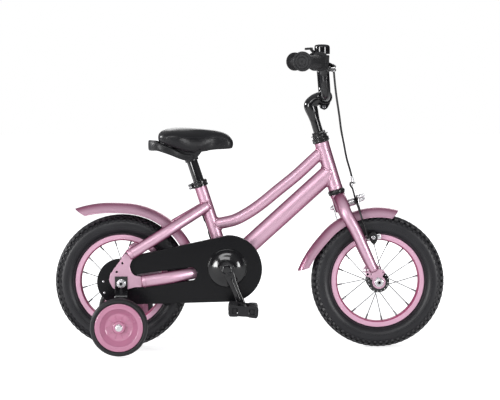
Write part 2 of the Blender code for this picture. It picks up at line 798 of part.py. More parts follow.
def stabiliser_bracket(name, side):
    """A flat steel arm bolted outside the frame end, bent out to carry the wheel's bolt."""
    wide, thick = 0.029, 0.0035
    inner = REAR_DROPOUT + DROPOUT_THICKNESS + GAP + thick / 2
    outer = 0.1615
    line = [
        (inner, 0.1730),
        (inner, 0.1300),
        (inner + 0.004, 0.1210),
        (outer - 0.008, 0.0960),
        (outer, 0.0880),
        (outer, 0.0540),
    ]
    strip = [(side * y, z) for y, z in ribbon(line, thick)]
    wheel_at = Vector((REAR_AXLE.x, 0, STABILISER_CENTRE))
    bolt = (at_side(wheel_at, side * (outer - 0.006)), at_side(wheel_at, side * 0.1990))
    bolt_head = (at_side(wheel_at, side * 0.1984), at_side(wheel_at, side * 0.2025))
    pieces = [
        plate(name, [strip], wide, BLACK_PAINT, along_x((REAR_AXLE.x, 0, 0))),
        rod("wheel_bolt", 0.0050, *bolt, STEEL),
        rod("bolt_head", 0.0080, *bolt_head, STEEL, 6),
    ]
    eye = (at_side(REAR_AXLE, side * 0.05), at_side(REAR_AXLE, side * 0.08))
    return fused(name, pieces, [rod("eye", HUB_BORE, *eye, STEEL)])


def stabiliser_wheel(word, side):
    """A moulded wheel with a dished face, and the ring that rolls on the ground."""
    steps = 20
    middle = Vector((REAR_AXLE.x, side * STABILISER_TRACK, STABILISER_CENTRE))
    facing_out = facing((0, side, 0), middle)
    half = STABILISER_HALF_WIDTH
    dish = [
        (0.0060, half - 0.0045),
        (0.0140, half - 0.0045),
        (0.0400, half - 0.0080),
        (0.0430, half - 0.0010),
        (0.0520, half - 0.0020),
        (0.0520, -half + 0.0020),
        (0.0440, -half + 0.0010),
        (0.0400, -half + 0.0090),
        (0.0140, -half + 0.0015),
        (0.0060, -half + 0.0015),
    ]
    wheel = turned(f"stabiliser_wheel_{word}", dish, PINK_PLASTIC, facing_out, steps, closed=True)
    crown = STABILISER_RADIUS / math.cos(math.pi / steps)
    tread = [(0.0530, half - 0.0025), (0.0610, half), (crown, half - 0.0060)]
    name = f"stabiliser_tyre_{word}"
    return [tyre(name, middle, tread, BLACK_RUBBER, steps), wheel]


# Seat


def seat_post():
    bottom = seat(POST_TOP - POST_LENGTH)
    return ring("seat_post", POST_RADIUS, POST_BORE, bottom, seat(POST_TOP), BLACK_PAINT)


def saddle_clamp():
    """A cap on the seat post, with a block and the cross bolt that the rails turn on."""
    reach = Vector((0, 0.0330, 0))
    cheek = Vector((0, 0.0150, 0))
    pieces = [
        rod("saddle_clamp", 0.0158, seat(POST_TOP - 0.014), seat(POST_TOP + 0.005), BLACK_PAINT),
        rod("block", 0.0110, SADDLE_PIVOT - cheek, SADDLE_PIVOT + cheek, BLACK_PAINT),
        rod("cross_bolt", 0.0038, SADDLE_PIVOT - reach, SADDLE_PIVOT + reach, STEEL, 10),
    ]
    bore = rod("bore", 0.0131, seat(POST_TOP - 0.02), seat(POST_TOP + GAP), STEEL)
    return fused("saddle_clamp", pieces, [bore])


def saddle_rails():
    """One bent wire under the saddle, with the two washers that the cross bolt squeezes."""
    x, z = SADDLE_PIVOT.x, SADDLE_PIVOT.z
    half = [
        (-0.1830, 0.0290, 0.4795),
        (x - 0.0250, 0.0240, z + 0.0045),
        (x - 0.0120, 0.0225, z),
        (x + 0.0160, 0.0225, z),
        (-0.0900, 0.0170, 0.4720),
        (-0.0760, 0.0130, 0.4780),
        (-0.0670, 0.0060, 0.4795),
    ]
    route = half + [(a, -b, c) for a, b, c in reversed(half)]
    pieces = [tube("saddle_rails", flowing(route, 1), 0.0033, STEEL, resolution=1)]
    cuts = []
    for side in (-1, 1):
        ends = (at_side(SADDLE_PIVOT, side * 0.0165), at_side(SADDLE_PIVOT, side * 0.0285))
        longer = (at_side(SADDLE_PIVOT, side * 0.0120), at_side(SADDLE_PIVOT, side * 0.0330))
        pieces.append(rod("washer", 0.0120, *ends, STEEL))
        cuts.append(rod("bolt_hole", 0.0042, *longer, STEEL))
    return fused("saddle_rails", pieces, cuts)


def saddle_cover():
    """The cushion, a cage of sections from tail to nose, smoothed, with a hollow underside."""
    sections = [
        (-0.2150, 0.040, 0.4960, 0.4790),
        (-0.2080, 0.060, 0.5050, 0.4755),
        (-0.1900, 0.070, 0.5110, 0.4690),
        (-0.1650, 0.070, 0.5125, 0.4600),
        (-0.1420, 0.060, 0.5100, 0.4510),
        (-0.1200, 0.044, 0.5080, 0.4500),
        (-0.0950, 0.031, 0.5070, 0.4585),
        (-0.0700, 0.025, 0.5055, 0.4600),
        (-0.0500, 0.022, 0.4990, 0.4600),
        (-0.0385, 0.014, 0.4880, 0.4680),
    ]
    shape = bmesh.new()
    rows = []
    for x, wide, top, low in sections:
        deep = top - low
        half = [
            (0.0, top),
            (0.50 * wide, top - 0.02 * deep),
            (0.86 * wide, top - 0.12 * deep),
            (1.00 * wide, top - 0.40 * deep),
            (0.92 * wide, low + 0.22 * deep),
            (0.84 * wide, low),
            (0.45 * wide, low),
        ]
        around = half + [(0.0, low)] + [(-y, z) for y, z in reversed(half[1:])]
        rows.append([shape.verts.new((x, y, z)) for y, z in around])
    count = len(rows[0])
    for first, second in zip(rows, rows[1:]):
        for i in range(count):
            j = (i + 1) % count
            shape.faces.new((first[i], first[j], second[j], second[i]))
    half_count = count // 2
    for row in (rows[0], rows[-1]):
        for i in range(half_count):
            corners = [row[i], row[i + 1], row[count - i - 1], row[-i] if i else row[0]]
            shape.faces.new(list(dict.fromkeys(corners)))
    bmesh.ops.recalc_face_normals(shape, faces=shape.faces)
    data = bpy.data.meshes.new("saddle_cover")
    shape.to_mesh(data)
    shape.free()
    cushion = keep("saddle_cover", data, BLACK_VINYL)
    soft = cushion.modifiers.new("Soft", "SUBSURF")
    soft.levels = soft.render_levels = 1
    plan = [(-0.190, 0.036), (-0.160, 0.042), (-0.130, 0.030), (-0.090, 0.0205), (-0.060, 0.0120)]
    outline = plan + [(x, -y) for x, y in reversed(plan)]
    hollow_at = Matrix.Translation((0, 0, 0.4400))
    hollow = plate("hollow", [outline], 0.1000, STEEL, hollow_at)
    return fused("saddle_cover", [as_mesh(cushion)], [hollow])


def saddle_base():
    """The moulded pan inside the cushion, and the grab handle, a band that loops out behind it."""
    plan = [(-0.186, 0.034), (-0.160, 0.040), (-0.131, 0.0285), (-0.091, 0.0190), (-0.062, 0.0110)]
    outline = plan + [(x, -y) for x, y in reversed(plan)]
    half = [
        (-0.1500, 0.0340),
        (-0.1630, 0.0400),
        (-0.1800, 0.0465),
        (-0.1980, 0.0480),
        (-0.2140, 0.0430),
        (-0.2260, 0.0290),
        (-0.2315, 0.0130),
    ]
    line = [(x - HANDLE_BACK.x, y) for x, y in half]
    line += [(0.0, 0.0)] + [(x, -y) for x, y in reversed(line)]
    tilted = Matrix.Translation(HANDLE_BACK) @ Matrix.Rotation(HANDLE_SLOPE, 4, "Y")
    band = ribbon(line, HANDLE_THICKNESS)
    pieces = [
        plate("saddle_base", [outline], 0.0050, BLACK_PLASTIC, Matrix.Translation((0, 0, 0.4862))),
        plate("grab_handle", [band], HANDLE_HEIGHT, BLACK_PLASTIC, tilted),
    ]
    for side in (-1, 1):
        post_at = Matrix.Translation((-0.1620, side * 0.0370, 0.4670))
        pieces.append(box("leg", (0.0080, 0.0055, 0.0400), BLACK_PLASTIC, post_at))
    return fused("saddle_base", pieces)


# Steering


def fork():
    """Steerer, crown tube, two curved blades and the frame ends that take the front axle."""
    blade = [
        (0.2108, 0.0100, 0.3465),
        (0.2150, 0.0300, 0.3360),
        (0.2224, 0.0450, 0.3158),
        (0.2438, 0.0495, 0.2767),
        (0.2646, 0.0510, 0.2305),
        (0.2771, 0.0505, 0.2028),
        (0.2850, 0.0500, 0.1850),
    ]
    steerer_top = head(HEAD_LENGTH + 0.0260)
    pieces = [
        rod("fork", 0.0158, head(-0.0530), head(-0.0113), PINK_PAINT, 16),
        rod("steerer", STEERER_RADIUS, head(-0.0200), steerer_top, STEEL, 16),
    ]
    for side in (-1, 1):
        route = flowing([(x, side * y, z) for x, y, z in blade], 1)
        pieces.append(tube(f"blade_{side}", route, 0.0130, PINK_PAINT, 2, end_radius=0.0090))
        arc = (math.radians(-150), math.radians(60))
        outline = circle((FRONT_AXLE.x, FRONT_AXLE.z), 0.0150, 12, *arc)
        outline += [(0.2905, 0.1900), (0.2830, 0.1935), (0.2780, 0.1880)]
        hole = circle((FRONT_AXLE.x, FRONT_AXLE.z), HUB_BORE, 12)
        middle = side * (FRONT_DROPOUT + DROPOUT_THICKNESS / 2)
        place = upright((0, middle, 0))
        pieces.append(plate("fork_end", [outline, hole], DROPOUT_THICKNESS, PINK_PAINT, place))
    bolt_hole = rod("bolt_hole", BRAKE_HOLE, head(-BRAKE_DROP, -0.03), head(-BRAKE_DROP, 0.03), STEEL)
    bore = rod("bore", STEERER_BORE, head(-0.0050), head(HEAD_LENGTH + 0.04), STEEL)
    return fused("fork", pieces, [bolt_hole, bore])


def headset_locknut():
    """The washers and nut above the upper cup, on the steerer's thread."""
    low, high = HEAD_LENGTH + 0.0113, HEAD_LENGTH + 0.0262
    profile = [
        (0.0134, high - low),
        (0.0150, high - low),
        (0.0158, high - low - 0.0060),
        (0.0205, high - low - 0.0066),
        (0.0205, high - low - 0.0086),
        (0.0170, high - low - 0.0092),
        (0.0175, 0),
        (0.0134, 0),
    ]
    return turned("headset_locknut", profile, BLACK_PAINT, facing(UP, head(low)), closed=True)


def brake_pivot_bolt():
    """The bolt through the fork crown that carries the brake, with its nuts and spacer."""
    place = facing(AHEAD, head(-BRAKE_DROP))
    nut, spacer, shaft = 0.0055, 0.0075, 0.0030
    profile = [
        (0, 0.0590),
        (shaft, 0.0590),
        (shaft, 0.0560),
        (nut, 0.0560),
        (nut, 0.0500),
        (shaft, 0.0500),
        (shaft, 0.0340),
        (spacer, 0.0340),
        (spacer, 0.0185),
        (shaft, 0.0185),
        (shaft, -0.0172),
        (nut, -0.0172),
        (nut, -0.0235),
        (0, -0.0235),
    ]
    return turned("brake_pivot_bolt", profile, STEEL, place)


def fender(name, centre, crown, drop, half_width, first, last, flare_from, flare):
    """A mudguard: an arched section swept round the wheel, its tail flaring outwards."""
    shape = bmesh.new()
    section = []
    count, steps, sweep = 5, 18, math.radians(62)
    for i in range(count):
        angle = sweep * (2 * i / (count - 1) - 1)
        low = drop * (1 - math.cos(angle)) / (1 - math.cos(sweep))
        wide = half_width * math.sin(angle) / math.sin(sweep)
        reach = crown - low
        section.append(shape.verts.new((reach * math.cos(first), wide, reach * math.sin(first))))
    edges = [shape.edges.new(pair) for pair in zip(section, section[1:])]
    bmesh.ops.spin(
        shape, geom=section + edges, cent=(0, 0, 0), axis=(0, -1, 0), angle=last - first, steps=steps
    )
    for vert in shape.verts:
        turn = math.atan2(vert.co.z, vert.co.x)
        share = max(0.0, (turn - flare_from) / (last - flare_from))
        outwards = Vector((vert.co.x, 0, vert.co.z)).normalized()
        vert.co += outwards * flare * share**1.6
    bmesh.ops.recalc_face_normals(shape, faces=shape.faces)
    data = bpy.data.meshes.new(name)
    shape.to_mesh(data)
    shape.free()
    sheet = keep(name, data, PINK_PAINT, Matrix.Translation(centre))
    thick = sheet.modifiers.new("Sheet", "SOLIDIFY")
    thick.thickness = FENDER_SHEET
    thick.offset = 0
    return as_mesh(sheet)


def front_fender():
    """The front mudguard with the tab that hangs it from the crown bolt."""
    sheet = fender(
        "front_fender",
        FRONT_AXLE,
        crown=0.1700,
        drop=0.0200,
        half_width=0.0300,
        first=math.radians(73.6),
        last=math.radians(173.1),
        flare_from=math.radians(140),
        flare=0.0175,
    )
    eye, foot = head(-BRAKE_DROP + 0.0060, -0.0277), head(-0.0760, -0.0277)
    tab_at = facing(foot - eye, (eye + foot) / 2)
    tab = box("tab", (0.0130, 0.0022, (foot - eye).length), STEEL, tab_at)
    hole = rod("hole", BRAKE_HOLE, head(-BRAKE_DROP, -0.04), head(-BRAKE_DROP, -0.02), STEEL)
    return fused("front_fender", [sheet, tab], [hole])


def rear_fender():
    """The rear mudguard with the spacer that holds it off the seat stay bridge."""
    sheet = fender(
        "rear_fender",
        REAR_AXLE,
        crown=0.1810,
        drop=0.0210,
        half_width=0.0315,
        first=math.radians(14),
        last=math.radians(123),
        flare_from=math.radians(88),
        flare=0.0190,
    )
    outwards = (SEAT_BRIDGE - REAR_AXLE).normalized()
    ends = (REAR_AXLE + outwards * 0.1800, SEAT_BRIDGE - outwards * (STAY_BRIDGE_RADIUS + GAP))
    return fused("rear_fender", [sheet, rod("spacer", 0.0050, *ends, STEEL, 10)])


def caliper_arm(name, side):
    """A flat brake arm on the crown bolt. Both arms reach up to the cable on the right."""
    thick = CALIPER_THICKNESS
    lower = [(0.0, 0.0), (0.0280, -0.0120), (0.0440, -0.0420), (0.0440, -0.0760), (0.0310, -0.0980)]
    lower = [(side * y, z) for y, z in lower]
    upper = [(0.0, 0.0), (-0.0170, 0.0120), (-0.0260, 0.0330)]
    if side > 0:
        upper = [(0.0, 0.0), (-0.0150, 0.0060), (-0.0275, 0.0100)]
    turn = Matrix(((0, UP.x, AHEAD.x, 0), (1, 0, 0, 0), (0, UP.z, AHEAD.z, 0), (0, 0, 0, 1)))
    place = Matrix.Translation(head(-BRAKE_DROP, CALIPER_AHEAD[side])) @ turn
    pieces = [
        plate(name, [circle((0, 0), 0.0085, 12)], thick, STEEL, place),
        plate("lower", [ribbon(lower, 0.0100)], thick, STEEL, place),
        plate("upper", [ribbon(upper, 0.0090)], thick, STEEL, place),
    ]
    if side < 0:
        foot, tip = Vector((0.2368, -0.0262, 0.3690)), Vector((0.2377, -0.0300, 0.3865))
        pieces.append(rod("cable_stop", 0.0031, foot, tip, STEEL, 10))
    hole = plate("hole", [circle((0, 0), BRAKE_HOLE, 12)], 3 * thick, STEEL, place)
    return fused(name, pieces, [hole])


def brake_pad(name, side):
    """A brake shoe beside the rim, with the clamp that holds it to its arm."""
    angle, reach = math.radians(96.5), 0.1030
    front = CALIPER_AHEAD[side] + CALIPER_THICKNESS / 2 + GAP
    middle = FRONT_AXLE + Vector((math.cos(angle), 0, math.sin(angle))) * reach
    shoe_at = Matrix.Translation(at_side(middle, side * 0.0195)) @ Matrix.Rotation(-angle, 4, "Y")
    clamp_depth = 0.0560 - front
    clamp_at = head(-0.1315, front + clamp_depth / 2, side * 0.0285)
    turn = facing(AHEAD).to_3x3().to_4x4()
    pieces = [
        box(name, (0.0105, 0.0080, 0.0360), BLACK_RUBBER, shoe_at),
        box("holder", (0.0110, 0.0120, clamp_depth), STEEL, Matrix.Translation(clamp_at) @ turn),
    ]
    return fused(name, pieces)


# Cockpit


def stem():
    """A quill stem: the quill in the steerer, a cranked neck, the bar clamp and its bolt boss."""
    neck = [head(0.1790), head(0.1950), (0.1435, 0, 0.5670), (0.1560, 0, 0.5745), (0.1690, 0, 0.5800)]
    clamp = Vector((0, 0.0190, 0))
    boss = Vector((0.1705, 0, 0.5655))
    pieces = [
        rod("stem", QUILL_RADIUS, head(0.0450), head(0.1950), STEEL),
        tube("neck", flowing(neck, 2), 0.0143, BLACK_PAINT, resolution=3),
        rod("bar_clamp", 0.0168, CLAMP - clamp, CLAMP + clamp, BLACK_PAINT, 16),
        rod("boss", 0.0085, boss - clamp * 0.7, boss + clamp * 0.7, BLACK_PAINT),
    ]
    bore = rod("bar_bore", 0.0117, CLAMP - clamp * 2, CLAMP + clamp * 2, STEEL)
    return fused("stem", pieces, [bore])


def handlebar():
    """One bent bar: clamped in the middle, two risers, and the swept ends inside the grips."""
    inward = (GRIP_END - GRIP_START).normalized() * 0.0060
    half = [
        (0.1735, 0.0240, 0.5827),
        (0.1735, 0.0440, 0.5850),
        (0.1728, 0.0570, 0.5950),
        (0.1712, 0.0615, 0.6150),
        (0.1692, 0.0640, 0.6400),
        (0.1670, 0.0700, 0.6560),
        (0.1640, 0.0830, 0.6636),
        tuple(GRIP_START),
        tuple(GRIP_END - inward),
    ]
    left = [(CLAMP.x, 0.0, CLAMP.z), *half]
    right = [(x, -y, z) for x, y, z in reversed(half)]
    return tube("handlebar", flowing(right + left, 1), BAR_RADIUS, BLACK_PAINT, resolution=3)


def bar_bore(side):
    """The bore of a clamp on the straight stretch of the bar beside a grip."""
    ends = [(0.1640, side * 0.0830, 0.6636), (0.1570, side * 0.1150, 0.6646)]
    return rod("bar_bore", 0.0118, *ends, STEEL, 16)


def grip(name, side):
    """A rubber grip with a flange at both ends, closed at its outer end."""
    start = Vector((GRIP_START.x, side * GRIP_START.y, GRIP_START.z))
    end = Vector((GRIP_END.x, side * GRIP_END.y, GRIP_END.z))
    length = (end - start).length
    bore, blind = 0.0117, length - 0.0045
    profile = [
        (0, length),
        (GRIP_FLANGE - 0.0030, length),
        (GRIP_FLANGE, length - 0.0015),
        (GRIP_FLANGE, length - 0.0040),
        (GRIP_RADIUS, length - 0.0060),
        (GRIP_RADIUS, 0.0060),
        (GRIP_FLANGE, 0.0035),
        (GRIP_FLANGE, 0),
        (bore, 0),
        (bore, blind),
        (0, blind),
    ]
    return turned(name, profile, BLACK_RUBBER, facing(end - start, start), 16)


def lever_point(out, across_bar, along_axis=0.0):
    """A point near the lever's pivot: away from the bar, along it, and along the pin."""
    away = Vector((-LEVER_AXIS.z, 0, LEVER_AXIS.x))
    return LEVER_PIVOT + away * out + Vector((0, across_bar, 0)) + LEVER_AXIS * along_axis


def brake_lever_bracket():
    """The clamp on the right of the bar, two cheeks with the lever's pin, and the cable barrel."""
    turn = facing(LEVER_AXIS).to_3x3().to_4x4()
    clamp = ((0.1624, -0.0905, 0.6638), (0.1593, -0.1045, 0.6643))
    bridge_at = Matrix.Translation(lever_point(-0.0135, 0.0055)) @ turn
    arm_at = Matrix.Translation(lever_point(-0.0080, 0.0120)) @ turn
    pieces = [
        rod("brake_lever_bracket", 0.0146, *clamp, BLACK_PLASTIC, 14),
        box("bridge", (0.0190, 0.0070, 0.0150), BLACK_PLASTIC, bridge_at),
        rod("pin", 0.0020, lever_point(0, 0, -0.0080), lever_point(0, 0, 0.0080), STEEL, 10),
        rod("barrel", 0.0042, (0.1866, -0.0925, 0.6580), (0.1893, -0.0930, 0.6410), STEEL),
        box("arm", (0.0060, 0.0170, 0.0070), BLACK_PLASTIC, arm_at),
    ]
    for end in (-1, 1):
        cheek = Matrix.Translation(lever_point(-0.0050, 0.0, end * 0.0060)) @ turn
        pieces.append(box("cheek", (0.0110, 0.0190, 0.0026), BLACK_PLASTIC, cheek))
    return fused("brake_lever_bracket", pieces, [bar_bore(-1)])


def brake_lever():
    """The lever blade on its pin, reaching out in front of the right grip."""
    blade = [
        tuple(LEVER_PIVOT),
        (0.1868, -0.1160, 0.6498),
        (0.1870, -0.1350, 0.6490),
        (0.1830, -0.1650, 0.6480),
        (0.1760, -0.1900, 0.6475),
        (0.1725, -0.2040, 0.6475),
    ]
    pieces = [
        rod("brake_lever", 0.0055, lever_point(0, 0, -0.0040), lever_point(0, 0, 0.0040), BLACK_PAINT),
        tube("blade", flowing(blade, 1), 0.0038, BLACK_PAINT, resolution=2),
    ]
    hole = rod("hole", 0.0026, lever_point(0, 0, -0.01), lever_point(0, 0, 0.01), STEEL)
    return fused("brake_lever", pieces, [hole])


def brake_cable():
    """The whole cable, from the lever's barrel down to the stop on the right brake arm."""
    route = [
        (0.1894, -0.0930, 0.6400),
        (0.1912, -0.0900, 0.6220),
        (0.1953, -0.0850, 0.5887),
        (0.2028, -0.0750, 0.5426),
        (0.2080, -0.0650, 0.5079),
        (0.2154, -0.0550, 0.4731),
        (0.2219, -0.0450, 0.4427),
        (0.2304, -0.0370, 0.4146),
        (0.2378, -0.0305, 0.3872),
    ]
    return tube("brake_cable", flowing(route, 2), 0.0024, BLACK_PLASTIC, resolution=1)


def bell():
    """The bell on the left of the bar: a clamp, a foot, a post and the open dome."""
    foot = at_height(BELL, 0.6770)
    clamp = ((0.1628, 0.0885, 0.6638), (0.1600, 0.1015, 0.6642))
    dome_and_post = [
        (0, 0.7066),
        (0.0120, 0.7056),
        (0.0165, 0.7020),
        (0.0180, 0.6960),
        (0.0180, 0.6825),
        (0.0166, 0.6825),
        (0.0166, 0.6955),
        (0.0152, 0.7008),
        (0.0110, 0.7040),
        (BELL_STEM, 0.7045),
        (BELL_STEM, 0.6780),
        (0, 0.6780),
    ]
    pieces = [
        rod("bell", 0.0142, *clamp, BLACK_PAINT),
        rod("foot", 0.0085, foot, at_height(BELL, 0.6795), BLACK_PAINT),
        box("saddle", (0.0160, 0.0120, 0.0100), BLACK_PAINT, Matrix.Translation((0.1705, BELL.y, 0.6738))),
        turned("dome", dome_and_post, BLACK_PAINT, Matrix.Translation(BELL), 14),
    ]
    return fused("bell", pieces, [bar_bore(1)])


def bell_lever():
    """The thumb lever: an eye round the bell's post, an arm out under the dome, a raised pad."""
    sheet = 0.0016
    eye_at = Matrix.Translation(at_height(BELL, BELL_LEVER_HEIGHT))
    pieces = [plate("bell_lever", [circle((0, 0), 0.0100, 12)], sheet, BLACK_PLASTIC, eye_at)]
    blocks = {
        "arm": ((0.0250, 0.0070, sheet), (0.1610, BELL.y, BELL_LEVER_HEIGHT)),
        "riser": ((0.0030, 0.0070, 0.0150), (0.1500, BELL.y, 0.6875)),
        "pad": ((0.0200, 0.0120, 0.0030), (0.1408, BELL.y, 0.6950)),
    }
    for name, (size, centre) in blocks.items():
        pieces.append(box(name, size, BLACK_PLASTIC, Matrix.Translation(centre)))
    hole = plate("hole", [circle((0, 0), BELL_STEM + 0.0006, 12)], 0.01, STEEL, eye_at)
    return fused("bell_lever", pieces, [hole])


def brake_arm():
    """The coaster brake's reaction arm, from the rear axle to a clip on the left chain stay."""
    axle_at, front = (REAR_AXLE.x, REAR_AXLE.z), (-0.205, 0.1648)
    y, sheet = 0.0444, 0.0022
    disc, place = circle(axle_at, 0.0135, 14), upright((0, y, 0))
    clip = Vector((front[0], 0.0562, front[1]))
    clip_bore = CHAIN_STAY_RADIUS + 0.0012
    along = Vector((-0.0582, 0.0105, -0.0076)).normalized() * 0.0060
    pieces = [
        plate("brake_arm", [disc], sheet, STEEL, place),
        plate("strip", [ribbon([axle_at, front], 0.0150)], sheet, STEEL, place),
        ring("clip", clip_bore + 0.0022, clip_bore, clip - along, clip + along, STEEL),
    ]
    hole_at = (at_side(REAR_AXLE, y - 0.01), at_side(REAR_AXLE, y + 0.01))
    return fused("brake_arm", pieces, [rod("hole", HUB_BORE, *hole_at, STEEL)])


# Assembly


def body(name, centre, parent=None):
    """An empty on the joint that a group of pieces moves about."""
    made = bpy.data.objects.new(name, None)
    made.empty_display_size = 0.03
    made.location = centre
    PARTS.objects.link(made)
    if parent is not None:
        carry(parent, [made])
    return made


def carry(parent, pieces):
    """Parents the pieces and leaves them where they are."""
    bpy.context.view_layer.update()
    for piece in pieces:
        piece.parent = parent
        piece.matrix_parent_inverse = parent.matrix_world.inverted()


def headset_cups():
    """The lower cup under the head tube and the upper one on top of it."""
    top = HEAD_LENGTH
    return [
        headset_cup("headset_lower_cup", (-0.0110, -GAP), 0.0200, (-0.0060, 0.0100)),
        headset_cup("headset_upper_cup", (top + GAP, top + 0.0110), 0.0205, (top - 0.0100, top + 0.0060)),
    ]


def assemble():
    rear_collars = [(0.0597, 0.0470, 0.0080), (-0.0534, -0.0597, 0.0080)]
    front_collars = [(0.0466, 0.0390, 0.0085), (-0.0390, -0.0466, 0.0085)]
    carry(
        body("frame_body", (0, 0, 0)),
        [
            frame(),
            *headset_cups(),
            bottom_bracket(),
            seat_clamp(),
            *chain_case(),
            chain(),
            rear_fender(),
            axle("rear_axle", REAR_AXLE, rear_collars, 0.0790),
            *axle_nuts("rear_axle", REAR_AXLE, 0.0686),
            brake_arm(),
            stabiliser_bracket("stabiliser_bracket_right", -1),
            stabiliser_bracket("stabiliser_bracket_left", 1),
        ],
    )
    root = bpy.data.objects["frame_body"]
    post = body("seat_post_body", seat(SEAT_TUBE_LENGTH), root)
    carry(post, [seat_post(), saddle_clamp()])
    carry(body("saddle_body", SADDLE_PIVOT, post), [saddle_rails(), saddle_base(), saddle_cover()])
    carry(body("rear_wheel_body", REAR_AXLE, root), rear_wheel())
    carry(body("sprocket_body", REAR_AXLE, root), [rear_sprocket()])
    cranks = body("crank_body", BRACKET, root)
    reach = Vector((0, 0.0737, 0))
    carry(cranks, [rod("crank_axle", 0.0080, BRACKET - reach, BRACKET + reach, STEEL), chainring()])
    for side, word in ((-1, "right"), (1, "left")):
        carry(cranks, [crank(f"crank_{word}", side), pedal_axle(f"pedal_axle_{word}", side)])
        spin = body(f"pedal_{word}_body", at_side(pedal_centre(side), side * PEDAL_INNER), cranks)
        carry(spin, [pedal(f"pedal_{word}", side)])
        middle = Vector((REAR_AXLE.x, side * STABILISER_TRACK, STABILISER_CENTRE))
        carry(body(f"stabiliser_{word}_body", middle, root), stabiliser_wheel(word, side))
    turning = body("fork_body", HEAD_BOTTOM, root)
    carry(
        turning,
        [
            fork(),
            headset_locknut(),
            brake_pivot_bolt(),
            front_fender(),
            axle("front_axle", FRONT_AXLE, front_collars, 0.0620),
            *axle_nuts("front_axle", FRONT_AXLE, 0.0518),
        ],
    )
    carry(body("front_wheel_body", FRONT_AXLE, turning), front_wheel())
    for side, word in ((-1, "right"), (1, "left")):
        pivot = body(f"caliper_{word}_body", head(-BRAKE_DROP), turning)
        carry(pivot, [caliper_arm(f"caliper_arm_{word}", side), brake_pad(f"brake_pad_{word}", side)])
    cockpit = body("cockpit_body", head(HEAD_LENGTH), turning)
    grips = [grip("grip_right", -1), grip("grip_left", 1)]
    carry(cockpit, [stem(), handlebar(), *grips, brake_lever_bracket(), bell(), brake_cable()])
    carry(body("brake_lever_body", LEVER_PIVOT, cockpit), [brake_lever()])
    carry(body("bell_lever_body", at_height(BELL, BELL_LEVER_HEIGHT), cockpit), [bell_lever()])


assemble()
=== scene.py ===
# Looks of a small child's bicycle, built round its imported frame. Metres, +X forwards, +Y left, +Z up.
# Right-hand pieces, on the camera's side, are at negative Y.
import math

import bmesh
import bpy
from mathutils import Matrix, Vector


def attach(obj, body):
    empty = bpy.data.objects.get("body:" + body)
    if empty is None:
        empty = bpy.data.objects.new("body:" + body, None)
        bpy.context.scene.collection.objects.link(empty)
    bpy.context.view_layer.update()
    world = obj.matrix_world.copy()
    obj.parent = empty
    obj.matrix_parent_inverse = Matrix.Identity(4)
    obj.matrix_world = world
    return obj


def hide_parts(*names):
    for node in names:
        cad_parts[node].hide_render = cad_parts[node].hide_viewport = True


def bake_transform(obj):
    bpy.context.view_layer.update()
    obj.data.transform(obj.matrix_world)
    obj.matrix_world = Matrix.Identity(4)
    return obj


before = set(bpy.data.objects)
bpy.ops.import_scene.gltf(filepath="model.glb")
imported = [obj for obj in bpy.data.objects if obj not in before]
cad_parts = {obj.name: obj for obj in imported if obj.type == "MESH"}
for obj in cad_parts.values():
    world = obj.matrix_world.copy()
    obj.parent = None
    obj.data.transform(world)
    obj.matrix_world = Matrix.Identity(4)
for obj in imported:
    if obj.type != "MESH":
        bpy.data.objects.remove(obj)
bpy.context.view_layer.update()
print("frame loaded:", len(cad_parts), "nodes")


# Camera, floor and light

view = {
    "eye": (-0.0815, -4.8, 0.662),
    "target": (0.0, 0.0, 0.3428),      # middle of the photograph
    "framedWidth": 1.1644,             # metres across the picture at the bicycle
    "sensor": 36.0,
}


def setCamera():
    eye, target = Vector(view["eye"]), Vector(view["target"])
    data = bpy.data.cameras.new("camera")
    data.sensor_width = view["sensor"]
    data.lens = view["sensor"] * (target - eye).length / view["framedWidth"]
    data.clip_end = 60
    camera = bpy.data.objects.new("camera", data)
    camera.location = eye
    camera.rotation_euler = (target - eye).to_track_quat("-Z", "Y").to_euler()
    bpy.context.scene.collection.objects.link(camera)
    bpy.context.scene.camera = camera


def addLamp(name, place, size, power):
    data = bpy.data.lights.new(name, "AREA")
    data.shape = "RECTANGLE"
    data.size, data.size_y = size
    data.energy = power
    lamp = bpy.data.objects.new(name, data)
    lamp.location = place
    lamp.rotation_euler = (Vector(lampAim) - Vector(place)).to_track_quat("-Z", "Y").to_euler()
    bpy.context.scene.collection.objects.link(lamp)


def newNode(tree, kind, values=None, **settings):
    node = tree.nodes.new("ShaderNode" + kind)
    for name, setting in settings.items():
        setattr(node, name, setting)
    for name, value in (values or {}).items():
        node.inputs[name].default_value = value
    return node


def addObject(name, shape, material=None):
    mesh = bpy.data.meshes.new(name)
    shape.to_mesh(mesh)
    shape.free()
    if material:
        mesh.materials.append(material)
    thing = bpy.data.objects.new(name, mesh)
    bpy.context.scene.collection.objects.link(thing)
    return thing


def joinAll(tree, pairs):
    for outlet, inlet in pairs:
        tree.links.new(outlet, inlet)


def seenDirectly(tree, inGloss=None):
    # 1 for rays that see a background straight, inGloss (or 1) by reflection, 0 for the light it throws
    path = newNode(tree, "LightPath")
    gloss = newNode(tree, "Math", {1: 1.0}, operation="MULTIPLY")
    if inGloss:
        tree.links.new(inGloss, gloss.inputs[1])
    first = newNode(tree, "Math", operation="MAXIMUM")
    second = newNode(tree, "Math", operation="MAXIMUM")
    joinAll(tree, [
        (path.outputs["Is Glossy Ray"], gloss.inputs[0]),
        (path.outputs["Is Camera Ray"], first.inputs[0]),
        (gloss.outputs[0], first.inputs[1]),
        (first.outputs[0], second.inputs[0]),
        (path.outputs["Is Transmission Ray"], second.inputs[1]),
    ])
    return second.outputs[0]


white = (1, 1, 1, 1)
worldLook = {
    "light": (0.93, 0.95, 1.0, 1), "strength": 0.26,
    # walls seen in the gloss: white overhead, a darker band low down, as in a studio
    "low": (0.06, 0.055, 0.06, 1), "lowEnd": 0.5,
    "high": (0.6, 0.6, 0.61, 1), "highStart": 0.92,
}


